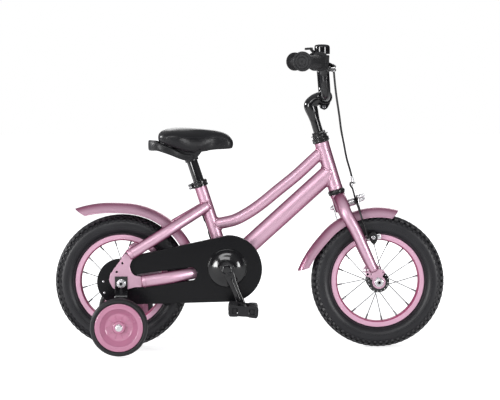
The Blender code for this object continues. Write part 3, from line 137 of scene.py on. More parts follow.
def setWorld():
    world = bpy.data.worlds.new("studio")
    bpy.context.scene.world = world
    world.use_nodes = True
    tree = world.node_tree
    tree.nodes.clear()
    out = newNode(tree, "OutputWorld")
    mix = newNode(tree, "MixShader")
    lit = newNode(tree, "Background", {"Color": worldLook["light"], "Strength": worldLook["strength"]})
    shown = newNode(tree, "Background", {"Strength": 1.0})
    where = newNode(tree, "TexCoord")
    split = newNode(tree, "SeparateXYZ")
    ramp = newNode(tree, "ValToRGB")
    low, high = ramp.color_ramp.elements
    low.position, low.color = worldLook["lowEnd"], worldLook["low"]
    high.position, high.color = worldLook["highStart"], worldLook["high"]
    shift = newNode(tree, "MapRange", {"From Min": -1})
    path = newNode(tree, "LightPath")
    choose = newNode(tree, "Mix", data_type="RGBA")
    choose.inputs["B"].default_value = white
    joinAll(tree, [
        (where.outputs["Generated"], split.inputs[0]),
        (split.outputs["Z"], shift.inputs["Value"]),
        (shift.outputs["Result"], ramp.inputs["Fac"]),
        (path.outputs["Is Camera Ray"], choose.inputs["Factor"]),
        (ramp.outputs["Color"], choose.inputs["A"]),
        (choose.outputs["Result"], shown.inputs["Color"]),
        (seenDirectly(tree), mix.inputs["Fac"]),
        (lit.outputs[0], mix.inputs[1]),
        (shown.outputs[0], mix.inputs[2]),
        (mix.outputs[0], out.inputs["Surface"]),
    ])


floorLook = {
    "size": 14.0, "clear": 0.8, "fade": 2.6,      # metres: shadows show inside clear, none past fade
    "colour": (0.8, 0.8, 0.8, 1), "rough": 0.9, "specular": 0.1, "glow": 0.7,
    "glossNear": 0.55, "glossFar": 0.0, "glossFrom": 1.1, "glossTo": 2.2,      # its brightness in reflections
}


def setFloor():
    # white where the camera or a reflection sees it, darker only where the bicycle shades it
    look = floorLook
    material = bpy.data.materials.new("paleFloor")
    material.use_nodes = True
    tree = material.node_tree
    matt = tree.nodes["Principled BSDF"]
    matt.inputs["Base Color"].default_value = look["colour"]
    matt.inputs["Roughness"].default_value = look["rough"]
    matt.inputs["Specular IOR Level"].default_value = look["specular"]
    where = newNode(tree, "TexCoord")
    length = newNode(tree, "VectorMath", operation="LENGTH")
    far = newNode(tree, "MapRange", interpolation_type="SMOOTHSTEP")
    dim = newNode(tree, "MapRange", interpolation_type="SMOOTHSTEP")
    farEdges, dimEdges = ("clear", "fade", "glow"), ("glossFrom", "glossTo", "glossNear", "glossFar")
    for node, edges in ((far, farEdges), (dim, dimEdges)):
        for socket, edge in zip(("From Min", "From Max", "To Min", "To Max"), edges):
            node.inputs[socket].default_value = look[edge]
        tree.links.new(length.outputs["Value"], node.inputs["Value"])
    seen = newNode(tree, "Math", operation="MULTIPLY")
    glow = newNode(tree, "Emission")
    both = newNode(tree, "AddShader")
    joinAll(tree, [
        (where.outputs["Object"], length.inputs[0]),
        (far.outputs["Result"], seen.inputs[0]),
        (seenDirectly(tree, dim.outputs["Result"]), seen.inputs[1]),
        (seen.outputs[0], glow.inputs["Strength"]),
        (matt.outputs[0], both.inputs[0]),
        (glow.outputs[0], both.inputs[1]),
        (both.outputs[0], tree.nodes["Material Output"].inputs["Surface"]),
    ])
    shape = bmesh.new()
    bmesh.ops.create_grid(shape, x_segments=1, y_segments=1, size=look["size"])
    floor = addObject("floor", shape, material)


lampAim = (0, 0, 0.35)
lamps = [
    ("frontSoftbox", (-0.6, -3.6, 2.3), (2.6, 0.8), 38),
    ("leftSoftbox", (-2.7, -3.1, 0.75), (0.8, 1.3), 74),
    ("rightSoftbox", (2.8, -2.9, 0.75), (0.8, 1.3), 62),
    ("sideSoftbox", (-2.6, 0.65, 1.1), (0.6, 0.6), 50),
    ("backSoftbox", (0.6, 3.0, 1.5), (2.4, 1.4), 26),
]


def setStage():
    setCamera()
    setWorld()
    setFloor()
    for name, place, size, power in lamps:
        addLamp(name, place, size, power)
    bpy.context.scene.view_settings.view_transform = "Standard"
    print("stage set")


setStage()


# Shared shader groups

def newGroup(name, inputs, outputs):
    # a value's kind of socket follows from the value: a colour or a number
    group = bpy.data.node_groups.new(name, "ShaderNodeTree")
    for label, value in inputs.items():
        kind = "NodeSocketColor" if isinstance(value, tuple) else "NodeSocketFloat"
        group.interface.new_socket(name=label, in_out="INPUT", socket_type=kind).default_value = value
    for label in outputs:
        kind = "NodeSocketColor" if label == "Colour" else "NodeSocketFloat"
        group.interface.new_socket(name=label, in_out="OUTPUT", socket_type=kind)
    return group, group.nodes.new("NodeGroupInput"), group.nodes.new("NodeGroupOutput")


def objectTexture(group, kind, scale, detail=0.0):
    where = newNode(group, "TexCoord")
    texture = newNode(group, kind)
    joinAll(group, [(where.outputs["Object"], texture.inputs["Vector"]), (scale, texture.inputs["Scale"])])
    texture.inputs["Detail"].default_value = detail
    return texture


def ranged(group, value, low, high, fromLow=0.0, fromHigh=1.0):
    # a value stretched between two of the group's own sockets
    node = newNode(group, "MapRange", {"From Min": fromLow, "From Max": fromHigh})
    joinAll(group, [(value, node.inputs["Value"]), (low, node.inputs["To Min"]),
        (high, node.inputs["To Max"])])
    return node.outputs["Result"]


def mixedColour(tree, factor, first, second):
    node = newNode(tree, "Mix", data_type="RGBA")
    joinAll(tree, [(factor, node.inputs["Factor"]), (first, node.inputs["A"]), (second, node.inputs["B"])])
    return node.outputs["Result"]


# cloudy tint and gloss over a whole surface, as on any handled or painted thing
def makeMottle():
    group, start, end = newGroup(
        "mottle",
        {"Scale": 20.0, "Colour A": white, "Colour B": white, "Rough Low": 0.3, "Rough High": 0.4},
        ["Colour", "Roughness"],
    )
    given = start.outputs
    clouds = objectTexture(group, "TexNoise", given["Scale"], 4).outputs["Fac"]
    joinAll(group, [
        (mixedColour(group, clouds, given["Colour A"], given["Colour B"]), end.inputs["Colour"]),
        (ranged(group, clouds, given["Rough Low"], given["Rough High"], 0.25, 0.75), end.inputs["Roughness"]),
    ])
    return group


# fine relief: noise for lacquer and rubber, cells for vinyl and moulded grain
def makeRelief():
    group, start, end = newGroup("relief", {"Fine Scale": 400.0, "Cell Scale": 300.0, "Cell Share": 0.0},
        ["Height"])
    noise = objectTexture(group, "TexNoise", start.outputs["Fine Scale"], 3)
    cells = objectTexture(group, "TexVoronoi", start.outputs["Cell Scale"])
    cells.feature = "SMOOTH_F1"
    mix = newNode(group, "Mix")
    joinAll(group, [
        (start.outputs["Cell Share"], mix.inputs["Factor"]),
        (noise.outputs["Fac"], mix.inputs["A"]),
        (cells.outputs["Distance"], mix.inputs["B"]),
        (mix.outputs["Result"], end.inputs["Height"]),
    ])
    return group


flakeMetal = (0.5, 0.74)      # how metallic the dullest and the brightest flake are


# metallic flakes: each cell has its own brightness
def makeFlakes():
    group, start, end = newGroup(
        "flakes", {"Scale": 2500.0, "Colour": white, "Bright": white, "Share": 0.3}, ["Colour", "Metallic"])
    given = start.outputs
    cells = objectTexture(group, "TexVoronoi", given["Scale"])
    grey = newNode(group, "SeparateColor")
    power = newNode(group, "Math", operation="MULTIPLY")
    metal = newNode(group, "MapRange", {"To Min": flakeMetal[0], "To Max": flakeMetal[1]})
    joinAll(group, [
        (cells.outputs["Color"], grey.inputs["Color"]),
        (grey.outputs["Red"], power.inputs[0]),
        (given["Share"], power.inputs[1]),
        (mixedColour(group, power.outputs[0], given["Colour"], given["Bright"]), end.inputs["Colour"]),
        (grey.outputs["Green"], metal.inputs["Value"]),
        (metal.outputs["Result"], end.inputs["Metallic"]),
    ])
    return group


# fine lines round a turned or drawn metal piece
def makeDrawnLines():
    group, start, end = newGroup(
        "drawnLines", {"Scale": 900.0, "Rough Low": 0.15, "Rough High": 0.35}, ["Roughness", "Height"])
    given = start.outputs
    where = newNode(group, "TexCoord")
    stretch = newNode(group, "Mapping", {"Scale": (0.06, 1.0, 0.06)})
    noise = newNode(group, "TexNoise")
    lines = noise.outputs["Fac"]
    joinAll(group, [
        (where.outputs["Object"], stretch.inputs["Vector"]),
        (stretch.outputs["Vector"], noise.inputs["Vector"]),
        (given["Scale"], noise.inputs["Scale"]),
        (ranged(group, lines, given["Rough Low"], given["Rough High"], 0.3, 0.7), end.inputs["Roughness"]),
        (lines, end.inputs["Height"]),
    ])
    return group


groups = {"mottle": makeMottle(), "relief": makeRelief(), "flakes": makeFlakes(),
    "drawnLines": makeDrawnLines()}


# Materials

def placeGroup(tree, name, values):
    node = newNode(tree, "Group", node_tree=groups[name])
    for label, value in values.items():
        node.inputs[label].default_value = value
    return node.outputs


def startMaterial(name):
    material = bpy.data.materials.new(name)
    material.use_nodes = True
    return material, material.node_tree, material.node_tree.nodes["Principled BSDF"].inputs


def addBump(tree, height, strength, distance):
    bump = newNode(tree, "Bump", {"Strength": strength, "Distance": distance})
    normal = tree.nodes["Principled BSDF"].inputs["Normal"]
    joinAll(tree, [(height, bump.inputs["Height"]), (bump.outputs["Normal"], normal)])


# every non-metal finish: cloudy colour and gloss, with a fine relief
def solidFinish(name, look):
    material, tree, shader = startMaterial(name)
    low, high = look["rough"]
    mottle = placeGroup(tree, "mottle", {
        "Scale": look.get("cloudScale", 18.0),
        "Colour A": (*look["colour"], 1),
        "Colour B": (*look.get("colourTwo", [c * 1.25 for c in look["colour"]]), 1),
        "Rough Low": low,
        "Rough High": high,
    })
    joinAll(tree, [(mottle["Colour"], shader["Base Color"]), (mottle["Roughness"], shader["Roughness"])])
    relief = placeGroup(tree, "relief", {
        "Fine Scale": look.get("fineScale", 500.0),
        "Cell Scale": look.get("cellScale", 700.0),
        "Cell Share": look.get("cellShare", 0.0),
    })
    addBump(tree, relief["Height"], look.get("bump", 0.15), look.get("depth", 0.0004))
    shader["Coat Weight"].default_value = look.get("coat", 0.0)
    shader["Coat Roughness"].default_value = look.get("coatRough", 0.08)
    shader["Specular IOR Level"].default_value = look.get("specular", 0.5)
    return material


def flakePaintWithEdgeShade(name, look):
    material = solidFinish(name, look)
    tree = material.node_tree
    shader = tree.nodes["Principled BSDF"].inputs
    flakes = placeGroup(tree, "flakes", {
        "Scale": look["flakeScale"],
        "Bright": (*look["bright"], 1),
        "Share": look["flakeShare"],
    })
    mottle = shader["Base Color"].links[0].from_node
    tree.links.new(mottle.outputs["Colour"], flakes["Colour"].node.inputs["Colour"])
    # painted shade: the paint is pale face on and is mixed towards a dark red where a tube turns away from
    # the camera, standing in for the shading of its edges
    turned = newNode(tree, "LayerWeight")
    share = newNode(tree, "MapRange", {"From Min": look["turnFrom"], "From Max": look["turnTo"]},
        interpolation_type="SMOOTHSTEP")
    paintedEdgeShade = newNode(tree, "Mix", data_type="RGBA")
    paintedEdgeShade.inputs["B"].default_value = (*look["deep"], 1)
    joinAll(tree, [
        (turned.outputs["Facing"], share.inputs["Value"]),
        (share.outputs["Result"], paintedEdgeShade.inputs["Factor"]),
        (flakes["Colour"], paintedEdgeShade.inputs["A"]),
        (paintedEdgeShade.outputs["Result"], shader["Base Color"]),
        (flakes["Metallic"], shader["Metallic"]),
    ])
    return material


def drawnMetal(name, look):
    material, tree, shader = startMaterial(name)
    low, high = look["rough"]
    mottle = placeGroup(tree, "mottle", {
        "Scale": 40.0,
        "Colour A": (*look["colour"], 1),
        "Colour B": (*look["colourTwo"], 1),
    })
    lines = placeGroup(tree, "drawnLines", {"Scale": look["lineScale"], "Rough Low": low, "Rough High": high})
    joinAll(tree, [(mottle["Colour"], shader["Base Color"]), (lines["Roughness"], shader["Roughness"])])
    addBump(tree, lines["Height"], 0.05, 0.0002)
    shader["Metallic"].default_value = 1.0
    return material


paints = {
    "framePaint": {
        "colour": (0.575, 0.33, 0.445), "colourTwo": (0.615, 0.355, 0.475), "bright": (0.9, 0.69, 0.79),
        # deep is painted shade: the dark red laid on where a tube turns away from the camera, between
        # turnFrom and turnTo of its facing
        "deep": (0.26, 0.045, 0.125), "turnFrom": 0.07, "turnTo": 0.6,
        "rough": (0.36, 0.45), "cloudScale": 9.0, "flakeScale": 2600.0, "flakeShare": 0.35,
        "fineScale": 150.0, "bump": 0.06, "coat": 0.4, "coatRough": 0.14},
}
solids = {
    "rimPaint": {
        "colour": (0.66, 0.37, 0.5), "colourTwo": (0.7, 0.4, 0.535), "rough": (0.36, 0.46),
        "fineScale": 260.0, "bump": 0.05, "coat": 0.15},
    # painted shade: the rim's inner well is a dark crimson copy of the rim paint, standing in for the shadow
    # on its inner surface
    "rimWellShade": {
        "colour": (0.36, 0.06, 0.15), "colourTwo": (0.42, 0.08, 0.18), "rough": (0.32, 0.42), "bump": 0.05},
    "pinkPlastic": {
        "colour": (0.45, 0.185, 0.285), "colourTwo": (0.49, 0.2, 0.31), "rough": (0.22, 0.31),
        "cellScale": 900.0, "cellShare": 0.5, "bump": 0.06, "specular": 0.5, "coat": 0.6, "coatRough": 0.1},
    "blackPaint": {
        "colour": (0.006, 0.006, 0.007), "colourTwo": (0.009, 0.009, 0.01), "rough": (0.22, 0.32),
        "fineScale": 320.0, "bump": 0.05, "specular": 0.42},
    "glossBlack": {
        "colour": (0.004, 0.004, 0.005), "colourTwo": (0.006, 0.006, 0.007), "rough": (0.09, 0.14),
        "fineScale": 120.0, "bump": 0.03, "specular": 0.6},
    "blackPlastic": {
        "colour": (0.008, 0.008, 0.009), "colourTwo": (0.012, 0.012, 0.014), "rough": (0.34, 0.44),
        "cellScale": 1100.0, "cellShare": 0.7, "bump": 0.14, "depth": 0.0003, "specular": 0.34},
    "casePlastic": {
        "colour": (0.003, 0.003, 0.004), "colourTwo": (0.005, 0.005, 0.006), "rough": (0.18, 0.25),
        "cellScale": 1300.0, "cellShare": 0.6, "bump": 0.05, "depth": 0.0003, "specular": 0.24},
    "gripRubber": {
        "colour": (0.009, 0.009, 0.01), "colourTwo": (0.014, 0.014, 0.016), "rough": (0.5, 0.64),
        "cellScale": 900.0, "cellShare": 0.5, "bump": 0.2, "specular": 0.3},
    "tyreRubber": {
        "colour": (0.008, 0.008, 0.01), "colourTwo": (0.014, 0.014, 0.017), "rough": (0.33, 0.46),
        "cloudScale": 30.0, "fineScale": 700.0, "bump": 0.2, "specular": 0.4},
    "wheelRubber": {
        "colour": (0.01, 0.01, 0.011), "colourTwo": (0.015, 0.015, 0.017), "rough": (0.42, 0.54),
        "fineScale": 800.0, "bump": 0.2, "specular": 0.32},
    "saddleVinyl": {
        "colour": (0.005, 0.005, 0.006), "colourTwo": (0.008, 0.008, 0.01), "rough": (0.3, 0.4),
        "cellScale": 850.0, "cellShare": 0.85, "fineScale": 300.0, "bump": 0.26, "depth": 0.0005,
        "specular": 0.34},
    "seamThread": {
        "colour": (0.012, 0.012, 0.014), "rough": (0.6, 0.7),
        "fineScale": 2500.0, "bump": 0.4, "specular": 0.3},
    "cableSkin": {
        "colour": (0.006, 0.006, 0.007), "rough": (0.24, 0.32), "fineScale": 900.0, "bump": 0.06},
}
metals = {
    "brightSteel": {
        "colour": (0.72, 0.72, 0.74), "colourTwo": (0.8, 0.8, 0.81),
        "rough": (0.16, 0.3), "lineScale": 700.0},
    "plainSteel": {
        "colour": (0.42, 0.42, 0.44), "colourTwo": (0.52, 0.52, 0.53),
        "rough": (0.28, 0.44), "lineScale": 500.0},
    "darkSteel": {
        "colour": (0.16, 0.16, 0.17), "colourTwo": (0.22, 0.22, 0.23),
        "rough": (0.26, 0.4), "lineScale": 500.0},
}
finishes = {name: flakePaintWithEdgeShade(name, look) for name, look in paints.items()}
finishes.update({name: solidFinish(name, look) for name, look in solids.items()})
finishes.update({name: drawnMetal(name, look) for name, look in metals.items()})
print("materials made:", len(finishes))


# Making meshes

def mm(rows, start=0.0):
    # a table written in millimetres, as tuples in metres; the last value of each is measured from start
    return [(*(value / 1000 for value in row[:-1]), start + row[-1] / 1000) for row in rows]


def leftBy(distance):
    return Vector((0, distance, 0))


def shifted(step):
    return Matrix.Translation(step)


def turns(count):
    return [2 * math.pi * k / count for k in range(count)]


def outAt(angle, reach=1.0, y=0.0):
    # away from the Y axis, at an angle measured up from straight ahead
    return Vector((reach * math.cos(angle), y, reach * math.sin(angle)))


def headingAt(line, i):
    return line[min(i + 1, len(line) - 1)] - line[max(i - 1, 0)]


def mirrored(profile):
    # a profile of (radius, y) down to the middle, carried on over the other side
    return list(profile) + [(r, -y) for r, y in profile[-2::-1]]


def centripetal(span, knots, t):
    # the curve through four points, as a pyramid of mixes between neighbours
    def between(first, last, one, two):
        start, stop = knots[first], knots[last]
        return one * ((stop - t) / (stop - start)) + two * ((t - start) / (stop - start))

    a = [between(i, i + 1, span[i], span[i + 1]) for i in range(3)]
    b = [between(i, i + 2, a[i], a[i + 1]) for i in range(2)]
    return between(1, 2, *b)


def smoothed(points, perSpan):
    # points on one smooth curve through all of them; a fourth value, such as a radius, goes along
    given = [Vector(p) for p in points]
    if len(given) == 2:
        return [given[0].lerp(given[1], i / perSpan) for i in range(perSpan + 1)]
    given = [given[0] * 2 - given[1]] + given + [given[-1] * 2 - given[-2]]
    line = []
    for first in range(len(given) - 3):
        span = given[first:first + 4]
        knots = [0.0]
        for a, b in zip(span, span[1:]):
            knots.append(knots[-1] + max((b - a).length, 1e-7) ** 0.5)
        line += [centripetal(span, knots, knots[1] + (knots[2] - knots[1]) * k / perSpan)
            for k in range(perSpan)]
    line.append(given[-2])
    return line


def rounded(outline, size, count=3, closed=True):
    # corners of an outline swapped for short curves
    points = [Vector(p) for p in outline]
    result = []
    for i, corner in enumerate(points):
        if not closed and i in (0, len(points) - 1):
            result.append(corner)
            continue
        before, after = points[i - 1], points[(i + 1) % len(points)]
        reachIn = min(size, (before - corner).length * 0.45)
        reachOut = min(size, (after - corner).length * 0.45)
        start = corner + (before - corner).normalized() * reachIn
        stop = corner + (after - corner).normalized() * reachOut
        for k in range(count + 1):
            t = k / count
            result.append(start * (1 - t) ** 2 + corner * (2 * t * (1 - t)) + stop * t ** 2)
    return result


def basis(axis, towards=(0, 0, 1)):
    # columns: towards squared up to the axis, their cross product, the axis
    along = Vector(axis).normalized()
    first = Vector(towards) - along * Vector(towards).dot(along)
    if first.length < 1e-4:
        first = Vector((1, 0, 0)) - along * along.x
    first.normalize()
    return Matrix((first, along.cross(first), along)).transposed()


def skin(shape, rings, closedRing=True, loop=False, capped=True):
    # faces between rows of points; the ends become flat caps
    rows = [[shape.verts.new(p) for p in ring] for ring in rings]
    pairs = list(zip(rows, rows[1:]))
    if loop:
        pairs.append((rows[-1], rows[0]))
    for one, two in pairs:
        count = len(one)
        for k in range(count if closedRing else count - 1):
            shape.faces.new((one[k], one[(k + 1) % count], two[(k + 1) % count], two[k]))
    if capped and closedRing and not loop:
        shape.faces.new(rows[0][::-1])
        shape.faces.new(rows[-1])
    return rows


def addPipe(shape, points, radius=None, sides=24, perSpan=8, tall=1.0, across=(0, 1, 0), dome=0.0):
    # a tube on a smooth curve; tall stretches it square to across, dome rounds its ends
    line = smoothed([(*p, radius) if len(p) == 3 else tuple(p) for p in points], perSpan)
    side = Vector(across).normalized()
    rings = []
    for i, point in enumerate(line):
        ahead = headingAt(line, i).to_3d().normalized()
        side = (side - ahead * side.dot(ahead)).normalized()
        over = ahead.cross(side)
        rings.append((point.to_3d(), side.copy(), over, ahead, point[3]))

    def ring(centre, side, over, size):
        return [centre + side * (size * math.cos(a)) + over * (size * tall * math.sin(a))
            for a in turns(sides)]

    rows = [ring(c, s, o, r) for c, s, o, a, r in rings]
    if dome:
        steps = (0.3, 0.62, 0.86)
        for end, way in ((0, -1), (-1, 1)):
            centre, side, over, ahead, size = rings[end]
            extra = [ring(centre + ahead * (way * dome * math.sin(t * math.pi / 2)), side, over,
                size - dome * (1 - math.cos(t * math.pi / 2))) for t in steps]
            rows = extra[::-1] + rows if end == 0 else rows + extra
    skin(shape, rows)


def addTurned(shape, profile, centre=(0, 0, 0), axis=(0, 1, 0), steps=48, edge=0.0004, phase=0.0, loop=None):
    # (radius, along) points turned round an axis; closed when the profile ends off the axis
    onAxis = profile[0][0] < 1e-7 or profile[-1][0] < 1e-7
    closed = (not onAxis) if loop is None else loop
    outline = rounded(profile, edge, 2, closed) if edge else [Vector(p) for p in profile]
    frameOf = basis(axis)
    origin = Vector(centre)
    rows = []
    for radius, along in outline:
        if radius < 1e-7:
            rows.append([shape.verts.new(origin + frameOf @ Vector((0, 0, along)))])
            continue
        rows.append([shape.verts.new(origin + frameOf @ Vector((
            radius * math.cos(phase + 2 * math.pi * k / steps),
            radius * math.sin(phase + 2 * math.pi * k / steps), along))) for k in range(steps)])
    pairs = list(zip(rows, rows[1:]))
    if closed:
        pairs.append((rows[-1], rows[0]))
    for one, two in pairs:
        if len(one) == 1 and len(two) == 1:
            continue
        for k in range(steps):
            after = (k + 1) % steps
            if len(one) == 1:
                shape.faces.new((one[0], two[after], two[k]))
            elif len(two) == 1:
                shape.faces.new((one[k], one[after], two[0]))
            else:
                shape.faces.new((one[k], one[after], two[after], two[k]))


def merge(shape, part):
    mesh = bpy.data.meshes.new("part")
    part.to_mesh(mesh)
    part.free()
    shape.from_mesh(mesh)
    bpy.data.meshes.remove(mesh)


def keepFlat(part):
    # a plate's two faces stay flat in the light, however soft its edges are
    part.normal_update()
    for rim in part.edges:
        flat = [abs(face.normal.z) > 0.9999 for face in rim.link_faces]
        if any(flat) and not all(flat):
            rim.smooth = False


def addPlate(shape, outline, thickness, place, edge=0.0006, corner=0.002, cornerSteps=4, segments=2):
    # an outline in the place's XY plane, thick along its Z, with softened edges
    part = bmesh.new()
    points = rounded(outline, corner, cornerSteps) if corner else [Vector(p) for p in outline]
    face = part.faces.new([part.verts.new((p[0], p[1], -thickness / 2)) for p in points])
    grown = bmesh.ops.extrude_face_region(part, geom=[face])
    bmesh.ops.translate(part, vec=(0, 0, thickness), verts=[v for v in grown["geom"]
        if isinstance(v, bmesh.types.BMVert)])
    bmesh.ops.recalc_face_normals(part, faces=part.faces)
    if edge:
        rims = [e for e in part.edges if abs(e.verts[0].co.z - e.verts[1].co.z) < 1e-7]
        bmesh.ops.bevel(part, geom=rims, offset=edge, segments=segments, affect="EDGES", profile=0.5)
    keepFlat(part)
    bmesh.ops.transform(part, matrix=place, verts=part.verts)
    merge(shape, part)


def addBlock(shape, size, place, edge=0.0006, segments=2):
    part = bmesh.new()
    bmesh.ops.create_cube(part, size=1.0)
    bmesh.ops.scale(part, vec=size, verts=part.verts)
    if edge:
        bmesh.ops.bevel(part, geom=part.edges[:], offset=edge, segments=segments, affect="EDGES", profile=0.5)
    bmesh.ops.transform(part, matrix=place, verts=part.verts)
    merge(shape, part)


def standing(centre, axis=(0, 0, 1), towards=(1, 0, 0)):
    # a place whose Z is the axis and whose X is towards
    return shifted(Vector(centre)) @ basis(axis, towards).to_4x4()


def addHexagon(shape, across, thickness, centre, axis, turn=0.0, edge=0.0004):
    # a hex nut or bolt head with chamfered corners
    corner = across / math.sqrt(3)
    outline = [(corner * math.cos(turn + math.pi * k / 3), corner * math.sin(turn + math.pi * k / 3))
        for k in range(6)]
    addPlate(shape, outline, thickness, standing(centre, axis), edge, corner=0.0004, cornerSteps=2)


def addBead(shape, path, size, ripple=0.18, pitch=0.0022, sides=8):
    # a weld: a low bumpy cord laid along a closed path
    count = len(path)
    travelled = 0.0
    rings = []
    for i, point in enumerate(path):
        ahead = (path[(i + 1) % count] - path[i - 1]).normalized()
        travelled += (path[(i + 1) % count] - point).length
        swell = size * (1 + ripple * math.sin(2 * math.pi * travelled / pitch))
        turn = basis(ahead, (0.3, 0.5, 0.81))
        rings.append([point + turn @ Vector((swell * math.cos(a), swell * math.sin(a), 0))
            for a in turns(sides)])
    skin(shape, rings, loop=True)


def weldPath(start, direction, radius, tall, across, onto, ontoAxis, ontoRadius, count=72):
    # where a tube running from start meets a round tube: points all the way round
    ahead = Vector(direction).normalized()
    side = (Vector(across) - ahead * Vector(across).dot(ahead)).normalized()
    over = ahead.cross(side)
    axis = Vector(ontoAxis).normalized()
    path = []
    for angle in turns(count):
        origin = Vector(start) + side * (radius * math.cos(angle)) + over * (radius * tall * math.sin(angle))
        offset = origin - Vector(onto)
        offset -= axis * offset.dot(axis)
        travel = ahead - axis * ahead.dot(axis)
        a, b, c = travel.dot(travel), 2 * travel.dot(offset), offset.dot(offset) - ontoRadius ** 2
        path.append(origin + ahead * ((-b - math.sqrt(max(b * b - 4 * a * c, 0))) / (2 * a)))
    return path


def makePiece(name, shape, finish, body, replaced=(), sharp=38):
    bmesh.ops.recalc_face_normals(shape, faces=shape.faces)
    for edge in shape.edges:
        if edge.calc_face_angle(math.pi) > math.radians(sharp):
            edge.smooth = False
    piece = addObject(name, shape, finishes[finish])
    piece.data.shade_smooth()
    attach(piece, body)
    if replaced:
        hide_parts(*replaced)
    return piece


# Where the bicycle's own lines run

lines = {
    "headBottom": Vector((0.1998, 0, 0.368)),
    "headUp": Vector((-math.sin(math.radians(17)), 0, math.cos(math.radians(17)))),
    "headLength": 0.1142,
    "bracket": Vector((-0.054, 0, 0.189)),
    "seatUp": Vector((-0.31283, 0, 0.94981)),
    "wheelX": 0.2975,
    "wheelZ": 0.155,
}
headUp, headLength, bracket = lines["headUp"], lines["headLength"], lines["bracket"]
seatUp, wheelX, wheelZ = lines["seatUp"], lines["wheelX"], lines["wheelZ"]
headAhead = Vector((headUp.z, 0, -headUp.x))
seatAhead = Vector((seatUp.z, 0, -seatUp.x))


def onHead(up, ahead=0.0, side=0.0):
    # a point measured along the steering axis, ahead of it and to its left
    return lines["headBottom"] + headUp * up + headAhead * ahead + leftBy(side)


def onSeat(up, ahead=0.0, side=0.0):
    return bracket + seatUp * up + seatAhead * ahead + leftBy(side)


def axleAt(way, y=0.0):
    # way is 1 for the front wheel and -1 for the rear one
    return Vector((way * wheelX, y, wheelZ))


# Wheels: tyres, rims, spokes and hubs

tyre = {
    "side": mm([(101.5, 9.5), (106.5, 11.2), (109, 13.2), (110.8, 16.5), (115, 21.2), (122, 25.2),
        (131, 26.6), (139.5, 25.2), (145.2, 21.8), (149.2, 15), (150.8, 7), (151.2, 0)]),
    "ridges": mm([(112.8, 19, 0.7), (117.2, 22.8, 0.4), (126.2, 26.2, 0.35), (140.5, 24.8, 0.6)]),
    "steps": 144,
    "blocks": 66,                   # round the wheel in each row
    # length and width of a block, the radius of its top, its height
    "crown": ((0.0085, 0.0062), 0.1549, 0.0052),
    # half steps round, lean, y, then as the crown
    "shoulders": [
        (1, 0.16, 0.0078, (0.0078, 0.0056), 0.1541, 0.0052),
        (0, 0.5, 0.0148, (0.0082, 0.0058), 0.1518, 0.005),
        (1, 0.98, 0.0208, (0.0072, 0.006), 0.1476, 0.0044),
        (0, 1.26, 0.0243, (0.005, 0.0046), 0.1432, 0.0036),
    ],
}


def addTyre(shape, centre):
    half = [(p.x, p.y) for p in smoothed(tyre["side"], 3)]
    addTurned(shape, mirrored(half), centre, steps=tyre["steps"], edge=0)
    for side in (-1, 1):
        for radius, y, size in tyre["ridges"]:
            ring = [(radius + size * math.cos(a), side * y + size * 1.4 * math.sin(a)) for a in turns(8)]
            addTurned(shape, ring, centre, steps=tyre["steps"], edge=0)


def addTreadBlock(shape, centre, angle, lean, y, size, top, sink):
    # a rubber block whose face leans with the tyre's shoulder
    radial = outAt(angle)
    around = Vector((-math.sin(angle), 0, math.cos(angle)))
    tilt = Matrix.Rotation(lean, 3, around)
    out = tilt @ radial
    wide = tilt @ leftBy(1)
    middle = centre + radial * top + leftBy(y) - out * (sink / 2)
    place = Matrix((around, wide, out)).transposed().to_4x4()
    place.translation = middle
    rings = []
    for height, share in ((-0.5, 1.12), (0.36, 1.0), (0.5, 0.84)):
        long, broad = size[0] * share / 2, size[1] * share / 2
        corners = ((-long, -broad), (long, -broad), (long, broad), (-long, broad))
        rings.append([place @ Vector((i, j, sink * height)) for i, j in corners])
    skin(shape, rings)


def addTread(shape, centre):
    for k in range(tyre["blocks"]):
        angle = 2 * math.pi * k / tyre["blocks"]
        half = math.pi / tyre["blocks"]
        addTreadBlock(shape, centre, angle, 0, 0.0, *tyre["crown"])
        for side in (-1, 1):
            for shift, lean, y, *block in tyre["shoulders"]:
                addTreadBlock(shape, centre, angle + half * shift, -side * lean, side * y, *block)


rim = {
    "band": mm([(96.2, 10), (97.5, 12.6), (98.5, 13.2), (107.6, 13.5), (108.3, 13.2), (108.3, 11.8),
        (106, 11.2), (101.8, 10.6), (101.2, 0)]),
    "well": mm([(97.8, 12.8), (96.2, 11.2), (95, 8.5), (94.1, 5), (94, 0)]),
    "wellTop": mm([(96.8, -8), (96.8, 8)]),
}
spokes = {
    "count": 16, "reach": 0.0925, "lean": math.radians(25), "radius": 0.001,
    "crossing": 0.0011, "rimSide": 0.0025, "holeInset": 0.003,      # holeInset from the flange's edge
    "elbow": 0.0012, "headAt": 0.0006,
    "head": mm([(0, 0.7), (1.9, 0.4), (1.9, -0.4), (0, -0.6)]),
    "hole": mm([(0, 0.3), (1.3, 0.3), (1.3, -0.8), (0, -0.8)]),
    "nippleLength": 0.0105, "nippleRadius": 0.0019,
}
valve = {
    "angles": {1: 115, -1: -62}, "seatAt": 0.094,
    "profile": mm([(0, -22), (2.1, -21.2), (2.3, -18), (2.3, -11), (3.4, -9.5), (3.4, 0), (0, 0)]),
}
